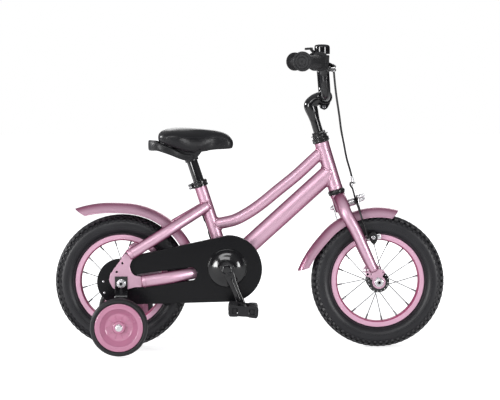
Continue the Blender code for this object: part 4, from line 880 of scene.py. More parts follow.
hubs = {
    # the shell's profile is (radius, y) down its outside; the front one's is half
    -1: {
        "flange": 0.0285, "flangeY": 0.028, "phase": math.radians(10),
        "shell": mm([(5.3, 42), (13, 42), (13.8, 38), (15, 32.5), (16, 30.1), (28, 29.9), (28.5, 29.2),
            (28.5, 26.8), (28, 26.1), (21.5, 25.8), (19, 23.5), (18.2, 15), (18.2, -15), (19, -23.5),
            (21.5, -25.8), (28, -26.1), (28.5, -26.8), (28.5, -29.2), (28, -29.9), (16, -30.1), (14.8, -32.5),
            (13, -35.5), (5.3, -35.5)]),
    },
    1: {
        "flange": 0.0255, "flangeY": 0.032, "phase": math.radians(6.4),
        "shell": mm([(5.3, 38.5), (9.6, 38.5), (10.4, 37.6), (11, 34.5), (11.8, 34), (25, 33.9), (25.5, 33.3),
            (25.5, 30.6), (25, 30), (15, 29.7), (12.2, 27.5), (11.2, 21), (10.8, 10), (10.8, 0)]),
    },
}


def spokeLine(way, k):
    hub = hubs[way]
    side = -1 if k % 2 == 0 else 1
    lean = -1 if k % 4 < 2 else 1
    rimAngle = hub["phase"] + 2 * math.pi * k / spokes["count"]
    hubAngle = rimAngle + lean * spokes["lean"]
    inner, outer = hub["flange"] - spokes["holeInset"], spokes["reach"]
    centre = axleAt(way)
    start = centre + outAt(hubAngle, inner, side * (hub["flangeY"] + lean * spokes["crossing"]))
    stop = centre + outAt(rimAngle, outer, side * spokes["rimSide"])
    return start, stop, side, lean


def makeWheel(way, where, body):
    centre = axleAt(way)
    shape = bmesh.new()
    addTyre(shape, centre)
    addTread(shape, centre)
    makePiece(where + "TyreRubber", shape, "tyreRubber", body, [where + "_tyre"])

    shape = bmesh.new()
    addTurned(shape, mirrored(rim["band"]), centre, steps=120)
    makePiece(where + "RimBand", shape, "rimPaint", body, [where + "_rim"])
    # the rim's inner well, in a dark crimson that is painted shade
    shape = bmesh.new()
    addTurned(shape, mirrored(rim["well"]) + rim["wellTop"], centre, steps=120, edge=0.0003)
    makePiece(where + "RimWell", shape, "rimWellShade", body)

    thin, nipples = bmesh.new(), bmesh.new()
    for k in range(spokes["count"]):
        start, stop, side, lean = spokeLine(way, k)
        ahead = (stop - start).normalized()
        elbow = start + leftBy(-side * lean * spokes["elbow"])
        addPipe(thin, [elbow, start, start.lerp(stop, 0.02), start.lerp(stop, 0.5), stop], spokes["radius"],
            8, 3)
        head = elbow + leftBy(-side * lean * spokes["headAt"])
        addTurned(thin, spokes["head"], head, (0, 1, 0), 12, 0.0002)
        inner = stop - ahead * spokes["nippleLength"]
        wide = spokes["nippleRadius"]
        addPipe(nipples, [(*inner, wide * 0.75), (*(inner + ahead * 0.0015), wide),
            (*(stop - ahead * 0.002), wide), (*(stop + ahead * 0.0006), wide * 1.25)], sides=10, perSpan=2)
    makePiece(where + "SpokeWires", thin, "darkSteel", body)
    makePiece(where + "SpokeNipples", nipples, "darkSteel", body)

    # valve stem through the rim
    shape = bmesh.new()
    out = outAt(math.radians(valve["angles"][way]))
    addTurned(shape, valve["profile"], centre + out * valve["seatAt"], out, 20, 0.0003)
    makePiece(where + "ValveStem", shape, "blackPlastic", body)


makeWheel(-1, "rear", "rear_wheel")
makeWheel(1, "front", "front_wheel")


def makeHub(way, where, body):
    centre = axleAt(way)
    shape = bmesh.new()
    hub = hubs[way]
    outer = hub["shell"]
    addTurned(shape, mirrored(outer) if way == 1 else outer, centre, steps=64, edge=0.0003)
    makePiece(where + "HubShell", shape, "glossBlack", body, [where + "_hub"])
    # bright rings of spoke holes in the flanges
    shape = bmesh.new()
    for side in (-1, 1):
        for k in range(spokes["count"]):
            angle = hub["phase"] + 2 * math.pi * (k + 0.5) / spokes["count"]
            reach = hub["flange"] - spokes["holeInset"]
            point = centre + outAt(angle, reach, side * (hub["flangeY"] + 0.002))
            addTurned(shape, spokes["hole"], point, (0, side, 0), 12, 0.0002)
    makePiece(where + "FlangeRivets", shape, "brightSteel", body)


makeHub(-1, "rear", "rear_wheel")
makeHub(1, "front", "front_wheel")
print("wheels made")


# Cut plates, for outlines with holes

def arc(x, z, radius, degrees):
    return [(x + radius * math.cos(math.radians(a)), z + radius * math.sin(math.radians(a))) for a in degrees]


def circleOutline(x, z, radius, count=32):
    return [(x + radius * math.cos(a), z + radius * math.sin(a)) for a in turns(count)]


def addCutPlate(shape, outline, holes, thickness, place, edge=0.0005, corner=0.002, offset=True):
    data = bpy.data.curves.new("cutPlate", "CURVE")
    data.dimensions = "2D"
    data.fill_mode = "BOTH"
    data.extrude = thickness / 2 - edge
    data.bevel_depth = edge
    data.bevel_resolution = 1
    data.offset = -edge if offset else 0.0
    for k, loop in enumerate([outline] + list(holes)):
        points = rounded(loop, corner, 4) if k == 0 and corner else loop
        line = data.splines.new("POLY")
        line.points.add(len(points) - 1)
        for point, spot in zip(line.points, points):
            point.co = (spot[0], spot[1], 0, 1)
        line.use_cyclic_u = True
    holder = bpy.data.objects.new("cutPlate", data)
    bpy.context.scene.collection.objects.link(holder)
    bpy.context.view_layer.update()
    mesh = bpy.data.meshes.new_from_object(holder.evaluated_get(bpy.context.evaluated_depsgraph_get()))
    part = bmesh.new()
    part.from_mesh(mesh)
    bmesh.ops.remove_doubles(part, verts=part.verts, dist=0.000002)
    keepFlat(part)
    bmesh.ops.transform(part, matrix=place, verts=part.verts)
    bpy.data.objects.remove(holder)
    bpy.data.curves.remove(data)
    bpy.data.meshes.remove(mesh)
    merge(shape, part)


def sideways(y):
    # a place for an outline in world X and Z, its thickness along Y
    return Matrix(((1, 0, 0, 0), (0, 0, -1, y), (0, 1, 0, 0), (0, 0, 0, 1)))


def belt(front, frontRadius, rear, rearRadius, count=24):
    # the outline of a band round two circles, in (x, z)
    gap = Vector((front[0] - rear[0], front[1] - rear[1]))
    facing = math.atan2(gap.y, gap.x)
    spread = math.acos((frontRadius - rearRadius) / gap.length)
    points = []
    for (x, z), radius, first, last in ((front, frontRadius, facing - spread, facing + spread),
            (rear, rearRadius, facing + spread, facing + 2 * math.pi - spread)):
        for k in range(count + 1):
            angle = first + (last - first) * k / count
            points.append((x + radius * math.cos(angle), z + radius * math.sin(angle)))
    return points


# The welded frame

mainFrame = {
    "topTube": mm([(-86.6, 0, 285), (-72.2, 0, 288.1), (-34.9, 0, 296.9), (-4.7, 0, 312.5), (24.7, 0, 332.6),
        (62.9, 0, 363.8), (110.6, 0, 402.7), (151.4, 0, 440.6), (169, 0, 456)]),
    "topRadius": 0.0139,
    "downTube": mm([(-54, 0, 190), (26, 0, 262.6), (106, 0, 335.2), (186, 0, 407.8)]),
    "downWide": 0.017, "downTall": 1.235,
    "seatRadius": 0.0143, "seatTop": 0.2088,
    "headRadius": 0.0165, "shell": 0.02,        # shell is the bracket shell's radius
    "seatStay": mm([(-277.1, 64, 221.2), (-230, 59, 250.1), (-186, 49, 277.1), (-150, 32, 299.2),
        (-116.4, 16.5, 319.8), (-101.5, 9, 329)]),
    "seatStayRadius": 0.012, "stayTall": 1.06,
    "chainStay": mm([(-62, 18, 185), (-112, 24.8, 178), (-150, 40.2, 172.8), (-190, 53.5, 166.8),
        (-248.2, 64, 159.2)]),
    "chainStayRadii": [0.0108, 0.0112, 0.0114, 0.0116, 0.0112], "chainStayTall": 1.22,
    "dropout": mm([(-288.5, 223.5), (-323.1, 175.5), (-325.4, 160), (-316.1, 143), (-300, 138.5),
        (-280.4, 142), (-265.5, 146.2), (-250, 146.2), (-250, 170.5), (-266, 172.2), (-275, 181.5),
        (-278.1, 195), (-274.5, 205), (-269, 213)]),
    "eyelets": [(-0.2946, 0.2017, 0.0026), (-0.3077, 0.1813, 0.0026)],
    "dropoutY": 0.06225, "dropoutThick": 0.0045,
    "seatBridge": (-0.156, 0.034, 0.2955), "chainBridge": (-0.106, 0.022, 0.1788),
    "bead": 0.0024,
}


hands = ((-1, "Right"), (1, "Left"))


def mirroredSides(points, side):
    return [(p[0], side * p[1], *p[2:]) for p in points]


def makeFrame():
    f = mainFrame
    shape = bmesh.new()
    addPipe(shape, f["topTube"], f["topRadius"], 40)
    addPipe(shape, f["downTube"], f["downWide"], 48, 6, tall=f["downTall"])
    seatTube = [onSeat(up) for up in (-0.01, 0.05, 0.1, 0.15, f["seatTop"])]
    addPipe(shape, seatTube, f["seatRadius"], 40, 4)
    headProfile = [(0.015, 0.0), (0.0168, 0.0), (0.017, 0.0015), (0.017, 0.007), (f["headRadius"], 0.0085),
        (f["headRadius"], headLength - 0.0085), (0.017, headLength - 0.007), (0.017, headLength - 0.0015),
        (0.0168, headLength), (0.015, headLength)]
    addTurned(shape, headProfile, onHead(0), headUp, 56, 0.0003)
    addTurned(shape, mm([(17.2, -34), (19.6, -34), (20, -33.2), (20, 33.2), (19.6, 34), (17.2, 34)]), bracket,
        (0, 1, 0), 48, 0.0003)
    for side in (-1, 1):
        stay = mirroredSides(f["seatStay"], side)
        addPipe(shape, stay, f["seatStayRadius"], 32, 6, tall=f["stayTall"], dome=0.004)
        low = mirroredSides(f["chainStay"], side)
        addPipe(shape, [(*p, r) for p, r in zip(low, f["chainStayRadii"])], sides=32, perSpan=6,
            tall=f["chainStayTall"], dome=0.003)
        holes = [circleOutline(x, z, r) for x, z, r in f["eyelets"]]
        holes.append(circleOutline(-wheelX, wheelZ, 0.0053))
        addCutPlate(shape, f["dropout"], holes, f["dropoutThick"], sideways(side * f["dropoutY"]), 0.0006,
            0.004)
    for x, y, z in (f["seatBridge"], f["chainBridge"]):
        addPipe(shape, [(x, -y, z), (x, y, z)], 0.006, 20, 4)
    makePiece("frameTubes", shape, "framePaint", "frame_set", ["frame"])


def makeWelds():
    f = mainFrame
    shape = bmesh.new()
    bracketAxis = (0, 1, 0)
    joints = [
        ((0.1514, 0, 0.4406), (0.0176, 0, 0.0154), f["topRadius"], 1.0, onHead(0), headUp, f["headRadius"]),
        ((0.106, 0, 0.3352), (0.08, 0, 0.0726), f["downWide"], f["downTall"], onHead(0), headUp,
            f["headRadius"]),
        ((-0.045, 0, 0.2942), (-0.0272, 0, -0.0061), f["topRadius"], 1.0, onSeat(0), seatUp, f["seatRadius"]),
        ((0.026, 0, 0.2626), (-0.08, 0, -0.0726), f["downWide"], f["downTall"], bracket, bracketAxis,
            f["shell"]),
        (onSeat(0.06), -seatUp, f["seatRadius"], 1.0, bracket, bracketAxis, f["shell"]),
    ]
    for start, ahead, radius, tall, onto, axis, ontoRadius in joints:
        path = weldPath(start, ahead, radius, tall, (0, 1, 0), onto, axis, ontoRadius)
        addBead(shape, path, f["bead"])
    for side in (-1, 1):
        start, stop = (Vector(p) for p in mirroredSides(f["seatStay"], side)[-2:])
        path = weldPath(start, stop - start, f["seatStayRadius"], 1.0, (0, 0, 1), onSeat(0), seatUp,
            f["seatRadius"])
        addBead(shape, path, 0.0013)
        stop, start = (Vector(p) for p in mirroredSides(f["chainStay"], side)[:2])
        path = weldPath(start, stop - start, f["chainStayRadii"][0], 1.0, (0, 0, 1), bracket, bracketAxis,
            f["shell"])
        addBead(shape, path, 0.0013)
        # where each stay is welded over its dropout plate
        upper = (f["seatStay"][:2], f["seatStayRadius"], 1.0)
        lower = (f["chainStay"][:2:-1], f["chainStayRadii"][-1], f["chainStayTall"])
        for points, radius, tall in (upper, lower):
            end, along = (Vector(p) for p in mirroredSides(points[:2], side))
            way = (along - end).normalized()
            frameOf = basis(way, (0, 1, 0))
            ring = []
            for a in turns(48):
                ring.append(end + way * (0.005 + 0.0012 * math.cos(2 * a)) + frameOf @ Vector((
                    radius * 1.01 * math.cos(a), radius * 1.01 * tall * math.sin(a), 0)))
            addBead(shape, ring, 0.001)
    makePiece("frameWelds", shape, "framePaint", "frame_set")


collarTop = 0.2091


def makeSeatClamp():
    shape = bmesh.new()
    addTurned(shape, mm([(14.6, -14.3), (18, -14.3), (18.6, -13.5), (18.6, -8.8), (18.1, -8.2), (18.1, -6),
        (18.6, -5.4), (18.6, -0.8), (18, 0), (13.6, 0), (13.6, -3.8), (14.6, -4.3)]), onSeat(collarTop),
        seatUp, 56)
    ear = Matrix((seatAhead, (0, 1, 0), seatUp)).transposed()
    for side in (-1, 1):
        place = shifted(onSeat(collarTop - 0.0071, -0.0212, side * 0.0043)) @ ear.to_4x4()
        addBlock(shape, (0.0105, 0.0042, 0.0118), place, 0.0014, 3)
    makePiece("seatClampCollar", shape, "glossBlack", "frame_set", ["seat_clamp"])
    shape = bmesh.new()
    spot = onSeat(collarTop - 0.0071, -0.0225)
    addTurned(shape, mm([(0, -10.4), (3, -10.4), (3.6, -9.8), (3.6, -6.8), (2.2, -6.6), (2.2, 6.6), (4, 6.8),
        (4, 9.8), (3.4, 10.4), (0, 10.4)]), spot, (0, 1, 0), 24, 0.0002)
    makePiece("seatClampBolt", shape, "brightSteel", "frame_set")


def makeHeadset():
    shape = bmesh.new()
    # cups: a skirt seen against the head tube, a fat ball race and a thin lip
    addTurned(shape, mm([(14.8, -0.3), (17.8, -0.3), (18.2, -1.6), (19.6, -3), (20, -4.4), (20, -7.4),
        (19.6, -8.2), (19, -8.6), (19, -9.4), (19.8, -10), (19.8, -11), (14.8, -11)]), onHead(0), headUp, 56,
        0.0003)
    makePiece("lowerHeadsetCup", shape, "blackPaint", "frame_set", ["headset_lower_cup"])
    shape = bmesh.new()
    addTurned(shape, mm([(14.8, 0.3), (18.4, 0.3), (19, 1.4), (20.5, 2.2), (20.5, 3.6), (19.8, 4.4),
        (19.6, 8), (20.2, 9.2), (20.2, 10.8), (14.8, 10.8)], headLength), onHead(0), headUp, 56, 0.0003)
    makePiece("upperHeadsetCup", shape, "blackPaint", "frame_set", ["headset_upper_cup"])
    shape = bmesh.new()
    low = headLength + 0.0113
    addTurned(shape, mm([(13.4, 0), (17.5, 0), (17.8, 1.2), (17.2, 3.4), (17, 5.6), (20.5, 6.2), (20.5, 8),
        (17.2, 8.6), (16, 9), (16, 9.8), (13.4, 9.8)], low), onHead(0), headUp, 56, 0.0003)
    addHexagon(shape, 0.029, 0.0052, onHead(low + 0.0122), headUp, 0.3, 0.0007)
    makePiece("headsetLocknut", shape, "blackPaint", "fork_set", ["headset_locknut"])


makeFrame()
makeWelds()
makeSeatClamp()
makeHeadset()
print("frame made")


# Fork and mudguards

fork = {
    "blade": mm([(207.5, 6, 349.5), (209.8, 17.5, 345), (214, 33, 334), (220.4, 45, 315.8),
        (242.2, 49.5, 276.7), (263.4, 51, 230.5), (276.4, 50.5, 202.8), (285, 50, 185)]),
    "radii": [0.0132, 0.0132, 0.0132, 0.013, 0.0124, 0.0116, 0.0108, 0.0098], "bladeTall": 1.1,
    "crownRadius": 0.0158,
    "endY": 0.04925, "endThick": 0.0045, "eyeRadius": 0.0152, "axleHole": 0.0053,
    "tang": mm([(311.8, 179), (309, 182.6), (296.5, 186.2), (288, 190.5), (276, 189),
        (270, 179), (266, 173.5), (267.2, 169), (274, 167.2)]),
    # x, z, radius, corners
    "holes": [(0.2794, 0.1735, 0.002, 20), (0.2803, 0.1637, 0.0016, 16), (0.307, 0.1783, 0.0016, 16),
        (0.271, 0.1733, 0.003, 20)],
}


def makeFork():
    shape = bmesh.new()
    low, high = -0.053, -0.0113
    addTurned(shape, [(0, low), (0.0145, low), (fork["crownRadius"], low + 0.0016),
        (fork["crownRadius"], high - 0.007), (0.0172, high - 0.0062), (0.0172, high - 0.001), (0.0165, high),
        (0, high)], onHead(0), headUp)
    axle = axleAt(1)
    for side in (-1, 1):
        blade = [(*p, r) for p, r in zip(mirroredSides(fork["blade"], side), fork["radii"])]
        addPipe(shape, blade, sides=36, perSpan=6, tall=fork["bladeTall"], dome=0.006)
        # the flat frame end: a round eye, and a tang up into the blade with small lightening holes
        outline = arc(axle.x, axle.z, fork["eyeRadius"], range(-200, 61, 10)) + fork["tang"]
        holes = [circleOutline(axle.x, axle.z, fork["axleHole"])]
        holes += [circleOutline(x, z, radius, count) for x, z, radius, count in fork["holes"]]
        addCutPlate(shape, outline, holes, fork["endThick"], sideways(side * fork["endY"]), 0.0005, 0.0012)
        frameOf = basis(Vector(fork["blade"][-1]) - Vector(fork["blade"][-2]), (0, 1, 0))
        points = [Vector(p) for p in mirroredSides(fork["blade"], side)]
        ring = []
        for a in turns(48):
            ring.append(points[-1] + frameOf @ Vector((0.01 * math.cos(a), 0.01 * math.sin(a),
                0.0006 * math.cos(2 * a))))
        addBead(shape, ring, 0.0008)
        # where the blade is welded on the crown sleeve
        path = weldPath(points[2], points[1] - points[3], 0.0128, 1.0, (1, 0, 0), onHead(0), headUp,
            fork["crownRadius"])
        addBead(shape, path, 0.0014)
    makePiece("forkBlades", shape, "framePaint", "fork_set", ["fork"])
    shape = bmesh.new()
    addTurned(shape, [(0.0115, -0.02), (0.0127, -0.02), (0.0127, headLength + 0.025),
        (0.0115, headLength + 0.0258)], onHead(0), headUp, 40, 0.0003)
    makePiece("forkSteerer", shape, "plainSteel", "fork_set")


fenders = {
    "front": {"way": 1, "crown": 0.17, "drop": 0.02, "half": 0.03, "first": 73.6, "last": 173.1,
        "flareFrom": 140.0, "flare": 0.0175, "body": "fork_set", "node": "front_fender"},
    "rear": {"way": -1, "crown": 0.181, "drop": 0.021, "half": 0.0315, "first": 14.0, "last": 123.0,
        "flareFrom": 88.0, "flare": 0.019, "body": "frame_set", "node": "rear_fender"},
}
fenderSheet = {"thick": 0.0011, "sweep": math.radians(62), "across": 22, "along": 96, "tipRound": 0.02,
    "curl": 0.0009}


def fenderPoint(look, share, over, lift):
    # share runs 0 to 1 along the mudguard, over -1 to 1 across it, lift stands off the sheet
    sweep = fenderSheet["sweep"]
    angle = over * sweep
    first, last = math.radians(look["first"]), math.radians(look["last"])
    turn = first + (last - first) * share
    flare = max(0.0, (turn - math.radians(look["flareFrom"])) / (last - math.radians(look["flareFrom"])))
    low = look["drop"] * (1 - math.cos(angle)) / (1 - math.cos(sweep))
    wide = look["half"] * math.sin(angle) / math.sin(sweep)
    reach = look["crown"] - low + look["flare"] * flare ** 1.6 + lift * math.cos(angle)
    return axleAt(look["way"]) + Vector((reach * math.cos(turn), wide + lift * math.sin(angle),
        reach * math.sin(turn)))


def makeFender(name, look):
    shape = bmesh.new()
    thick, across, along = fenderSheet["thick"], fenderSheet["across"], fenderSheet["along"]
    length = math.radians(look["last"] - look["first"]) * look["crown"]
    rows = []
    for i in range(along + 1):
        share = i / along
        # the ends are rounded: the rows there bow outwards
        outer, inner = [], []
        for j in range(across + 1):
            over = 2 * j / across - 1
            bow = fenderSheet["tipRound"] * (1 - math.sqrt(max(0.0, 1 - (0.92 * over) ** 2))) / length
            place = bow + (1 - 2 * bow) * share
            curl = fenderSheet["curl"] if abs(over) > 0.99 else 0.0
            outer.append(fenderPoint(look, place, over, thick / 2 + curl))
            inner.append(fenderPoint(look, place, over, -thick / 2 - curl))
        rows.append(outer + inner[::-1])
    skin(shape, rows)
    bmesh.ops.triangulate(shape, faces=[f for f in shape.faces if len(f.verts) > 4])
    # a rolled wire along each edge
    for side in (-1, 1):
        edge = []
        for i in range(0, along + 1, 3):
            bow = fenderSheet["tipRound"] * (1 - math.sqrt(1 - 0.92 ** 2)) / length
            edge.append(fenderPoint(look, bow + (1 - 2 * bow) * i / along, side * 0.995, 0))
        addPipe(shape, edge, 0.0013, 8, 2, dome=0.001)
    makePiece(name, shape, "framePaint", look["body"], [look["node"]], sharp=50)


def makeFenderFittings():
    # tab and screws that hang the front mudguard from the crown bolt, and the rear one's spacer
    shape = bmesh.new()
    eye, foot = onHead(-0.034, -0.0178), onHead(-0.079, -0.0178)
    addPlate(shape, mm([(-22.5, -6.5), (22.5, -6.5), (22.5, 6.5), (-22.5, 6.5)]), 0.0018,
        standing((eye + foot) / 2, headAhead, headUp), 0.0004, 0.004)
    makePiece("frontFenderTab", shape, "plainSteel", "fork_set")
    shape = bmesh.new()
    for up in (-0.06, -0.071):
        addTurned(shape, mm([(0, 1.2), (2.2, 1), (3.4, 0), (3.4, -0.8), (0, -0.8)]), onHead(up, -0.019),
            -headAhead, 20, 0.0002)
    makePiece("frontFenderRivets", shape, "brightSteel", "fork_set")
    shape = bmesh.new()
    bridge = Vector(mainFrame["seatBridge"]) * Vector((1, 0, 1))
    out = (bridge - axleAt(-1)).normalized()
    start, stop = axleAt(-1) + out * 0.18, bridge - out * 0.0064
    addPipe(shape, [start, stop], 0.005, 20, 3)
    addTurned(shape, mm([(0, 0), (6.2, 0), (6.2, 1.6), (4.8, 2.4), (0, 2.4)]), start, out, 24, 0.0003)
    makePiece("rearFenderSpacer", shape, "blackPaint", "frame_set")


makeFork()
makeFender("frontFender", fenders["front"])
makeFender("rearFender", fenders["rear"])
makeFenderFittings()
print("fork and mudguards made")


# Chain case, cranks and pedals

chainCase = {
    "front": (-0.0504, 0.1868), "frontRadius": 0.0777, "rear": (-0.3002, 0.1567), "rearRadius": 0.0537,
    "outer": -0.053, "inner": -0.0365, "split": -0.04475, "wall": 0.0016,
    "slotRear": (-0.252, 0.1606), "slotRadius": 0.0155,
    "screws": [(-0.3393, 0.1584), (-0.337, 0.1325)],
}


def caseOutline(grow):
    c = chainCase
    return belt(c["front"], c["frontRadius"] + grow, c["rear"], c["rearRadius"] + grow, 40)


def addCaseHalf(shape, face, split, slotFront, holes):
    c = chainCase
    out = -1 if face < split else 1
    slot = belt(slotFront, c["slotRadius"], c["slotRear"], c["slotRadius"], 16)
    centreY = face - out * 0.0013
    addCutPlate(shape, caseOutline(0), [slot] + holes, 0.0026, sideways(centreY), 0.0011, 0)
    low = face - out * 0.0016
    high, skirt = split + out * 0.0002, -0.0001
    edges = ((skirt, low), (skirt, high), (-c["wall"], high), (-c["wall"], low))
    rows = [[Vector((x, y, z)) for x, z in caseOutline(grow)] for grow, y in edges]
    skin(shape, rows, loop=True)
    # a lip pressed outwards round the slot
    lip = belt(slotFront, c["slotRadius"] + 0.001, c["slotRear"], c["slotRadius"] + 0.001, 16)
    path = [Vector((x, face + out * 0.0001, z)) for x, z in lip]
    addBead(shape, path, 0.0009, ripple=0.0)


def makeChainCase():
    c = chainCase
    shape = bmesh.new()
    holes = [circleOutline(bracket.x, bracket.z, 0.0145, 40), circleOutline(-wheelX, wheelZ, 0.0062, 24)]
    addCaseHalf(shape, c["outer"], c["split"], (-0.1385, 0.1752), holes)
    hub = (bracket.x, c["outer"], bracket.z)
    addTurned(shape, mm([(43.7, -0.4), (44.1, 0.7), (45, 1.2), (45.9, 0.7), (46.3, -0.4)]), hub, (0, -1, 0),
        96, 0.0003)
    makePiece("chainCaseOuter", shape, "casePlastic", "frame_set", ["chain_case_outer"])
    shape = bmesh.new()
    addTurned(shape, mm([(14.5, 6.8), (15.6, 7.3), (18.5, 7), (22.5, 5.9), (26.5, 4.5), (30.5, 2.9),
        (34.5, 1.6), (38.5, 0.8), (42.5, 0.5), (43.4, 0.1), (43.6, -0.6), (14.5, -0.6)]), hub, (0, -1, 0), 96,
        0.0006)
    makePiece("chainCaseDome", shape, "glossBlack", "frame_set")
    shape = bmesh.new()
    holes = [circleOutline(bracket.x, bracket.z, 0.02, 40), circleOutline(-wheelX, wheelZ, 0.019)]
    addCaseHalf(shape, c["inner"], c["split"], (-0.127, 0.1765), holes)
    makePiece("chainCaseInner", shape, "casePlastic", "frame_set", ["chain_case_inner"])
    shape = bmesh.new()
    for x, z in c["screws"]:
        addTurned(shape, mm([(0, 1.4), (1.7, 1.3), (2.6, 0.6), (2.7, -0.4), (0, -0.4)]), (x, c["outer"], z),
            (0, -1, 0), 20, 0.0002)
        for turn in (0.4, 0.4 + math.pi / 2):
            place = standing((x, c["outer"] - 0.0014, z), (0, -1, 0), (math.cos(turn), 0, math.sin(turn)))
            addBlock(shape, (0.0026, 0.0005, 0.0003), place, 0)
    makePiece("caseScrews", shape, "brightSteel", "frame_set")


cranks = {
    "length": 0.095, "angle": math.radians(22.5), "inner": 0.066, "thick": 0.012,
    "tipRadius": 0.0094, "heelRadius": 0.0128,
    # the arm is waisted: wide at both eyes, narrower between them
    "edge": mm([(0, 12.8), (16, 12.2), (34, 10), (60, 8.8), (80, 9)]),
}


def pedalSpot(side, y=0.0):
    lean = Vector((math.sin(cranks["angle"]), 0, -math.cos(cranks["angle"])))
    return bracket - lean * (side * cranks["length"]) + leftBy(y)


def makeCrank(side, word):
    far = pedalSpot(side)
    shape = bmesh.new()
    middle = side * (cranks["inner"] + cranks["thick"] / 2)
    along = (far - bracket).normalized()
    tip = arc(cranks["length"], 0, cranks["tipRadius"], range(70, -71, -20))
    heel = arc(0, 0, cranks["heelRadius"], range(250, 109, -20))
    edge = [(p.x, p.y) for p in smoothed([(x, w, 0) for x, w in cranks["edge"]], 4)]
    outline = edge + tip + [(x, -w) for x, w in reversed(edge)] + heel
    place = standing(bracket + leftBy(middle), (0, side, 0), along)
    addPlate(shape, outline, cranks["thick"], place, 0.003, 0, 0, segments=4)
    # a shallow forged rib down the middle of the outer face
    face = cranks["inner"] + cranks["thick"]
    rib = [bracket + along * s + leftBy(side * (face - 0.0012)) for s in (0.024, 0.04, 0.06, 0.078)]
    addPipe(shape, [(*rib[0], 0.0028), (*rib[1], 0.0034), (*rib[2], 0.0032), (*rib[3], 0.0024)], sides=16,
        perSpan=5, dome=0.002)
    addTurned(shape, mm([(0, -3), (16, -3), (17.2, -2), (17.2, -0.2), (16, 1), (11.8, 1), (11, 0.4),
        (0, 0.4)], face), bracket, (0, side, 0))
    addTurned(shape, [(0, cranks["inner"]), (0.0172, cranks["inner"]), (0.0172, cranks["inner"] + 0.006),
        (0, face - 0.001)], bracket, (0, side, 0), 48, 0.0006)
    makePiece("crankArm" + word, shape, "glossBlack", "crankset", ["crank_" + word.lower()])
    # a domed cap over the crank's nut
    shape = bmesh.new()
    addTurned(shape, mm([(0, 1.2), (6, 1.2), (8.8, 0.9), (10.6, 0.2), (10.6, -1), (0, -1)], face), bracket,
        (0, side, 0), 40)
    makePiece("crankCap" + word, shape, "glossBlack", "crankset")


pedals = {
    "inner": 0.086, "outer": 0.165, "length": 0.068, "height": 0.027,
    "turned": {-1: math.radians(-4), 1: math.radians(18.23 - 90)},
    "treadRibs": 9,
}


def pedalPlace(side, y):
    # X runs along the pedal's length, Y is up, Z along the axle
    turn = pedals["turned"][side]
    return standing(pedalSpot(side, side * y), (0, -1, 0), outAt(turn))


def makePedal(side, word):
    p = pedals
    shape = bmesh.new()
    half, tall = p["length"] / 2, p["height"] / 2
    wide = p["outer"] - p["inner"]
    outline = [(-half, -tall * 0.55), (-half + 0.003, -tall), (-half + 0.014, -tall), (-0.011, -tall * 0.86),
        (0.011, -tall * 0.86), (half - 0.014, -tall), (half - 0.003, -tall), (half, -tall * 0.55)]
    outline += [(x, -z) for x, z in reversed(outline)]
    pocket = [(-half + 0.0075, -0.007), (-0.0125, -0.006), (-0.0125, 0.006), (-half + 0.0075, 0.007)]
    other = [(-x, z) for x, z in reversed(pocket)]
    for end, thick in ((p["outer"] - 0.003, 0.006), (p["inner"] + 0.0025, 0.005)):
        holes = [] if end < 0.1 else [rounded(pocket, 0.0025, 4), rounded(other, 0.0025, 4)]
        holes = [[(q[0], q[1]) for q in hole] for hole in holes]
        addCutPlate(shape, outline, holes, thick, pedalPlace(side, end), 0.0008, 0.0022)
    # two long tread blocks with ribs, and the barrel between them
    span = wide - 0.009
    middle = (p["inner"] + p["outer"]) / 2
    for way in (-1, 1):
        centre = pedalPlace(side, middle) @ shifted((way * (half - 0.0115), 0, 0))
        addBlock(shape, (0.017, p["height"] - 0.006, span), centre, 0.0012)
        for k in range(p["treadRibs"]):
            z = (k / (p["treadRibs"] - 1) - 0.5) * (span - 0.004)
            for face in (-1, 1):
                place = centre @ shifted((0, face * (tall - 0.0022), z))
                addBlock(shape, (0.018, 0.0044, 0.0032), place, 0.0006, 1)
        for lift in (-0.0075, -0.0025, 0.0025, 0.0075):
            place = centre @ shifted((way * 0.0088, lift, 0))
            addBlock(shape, (0.004, 0.0024, span), place, 0.0005, 1)
    addTurned(shape, [(0.0062, p["inner"]), (0.01, p["inner"]), (0.01, p["outer"] - 0.004),
        (0.0062, p["outer"] - 0.004)], pedalSpot(side), (0, side, 0), 32, 0.0005)
    addTurned(shape, [(0, p["outer"] - 0.001), (0.0078, p["outer"] - 0.001), (0.0084, p["outer"] - 0.002),
        (0.0084, p["outer"] - 0.006), (0, p["outer"] - 0.006)], pedalSpot(side), (0, side, 0), 32)
    makePiece("pedalBlock" + word, shape, "blackPlastic", word.lower() + "_pedal",
        ["pedal_" + word.lower()])


makeChainCase()
for side, word in hands:
    makeCrank(side, word)
    makePedal(side, word)
print("drive made")


# Axle ends, fork tab bolts and stabilisers

axleNuts = [
    # way, word, body, where the washer sits, the axle's end
    (-1, "rear", "frame_set", 0.069, 0.079),
    (1, "front", "fork_set", 0.052, 0.062),
]


def makeAxleNuts():
    for way, where, body, seatAt, end in axleNuts:
        for side, word in hands:
            shape = bmesh.new()
            centre = axleAt(way)
            addTurned(shape, mm([(5, -0.4), (10, -0.4), (10.4, 0.2), (10.4, 1), (9.6, 1.3), (5, 1.3)],
                seatAt), centre, (0, side, 0), 40, 0.0003)
            addHexagon(shape, 0.0148, 0.0066, centre + leftBy(side * (seatAt + 0.0046)), (0, side, 0), 0.35,
                0.0008)
            addTurned(shape, [(0, end), (0.0036, end), (0.0047, end - 0.001), (0.0047, seatAt), (0, seatAt)],
                centre, (0, side, 0), 28, 0.0003)
            for k in range(3):
                thread = mm([(4.6, -1.6), (5, -2), (4.6, -2.4)], end - 0.0011 * k)
                addTurned(shape, thread, centre, (0, side, 0), 28, 0)
            node = f"{where}_axle_nut_{word.lower()}"
            makePiece(f"{where}AxleNut{word}", shape, "brightSteel", body, [node])


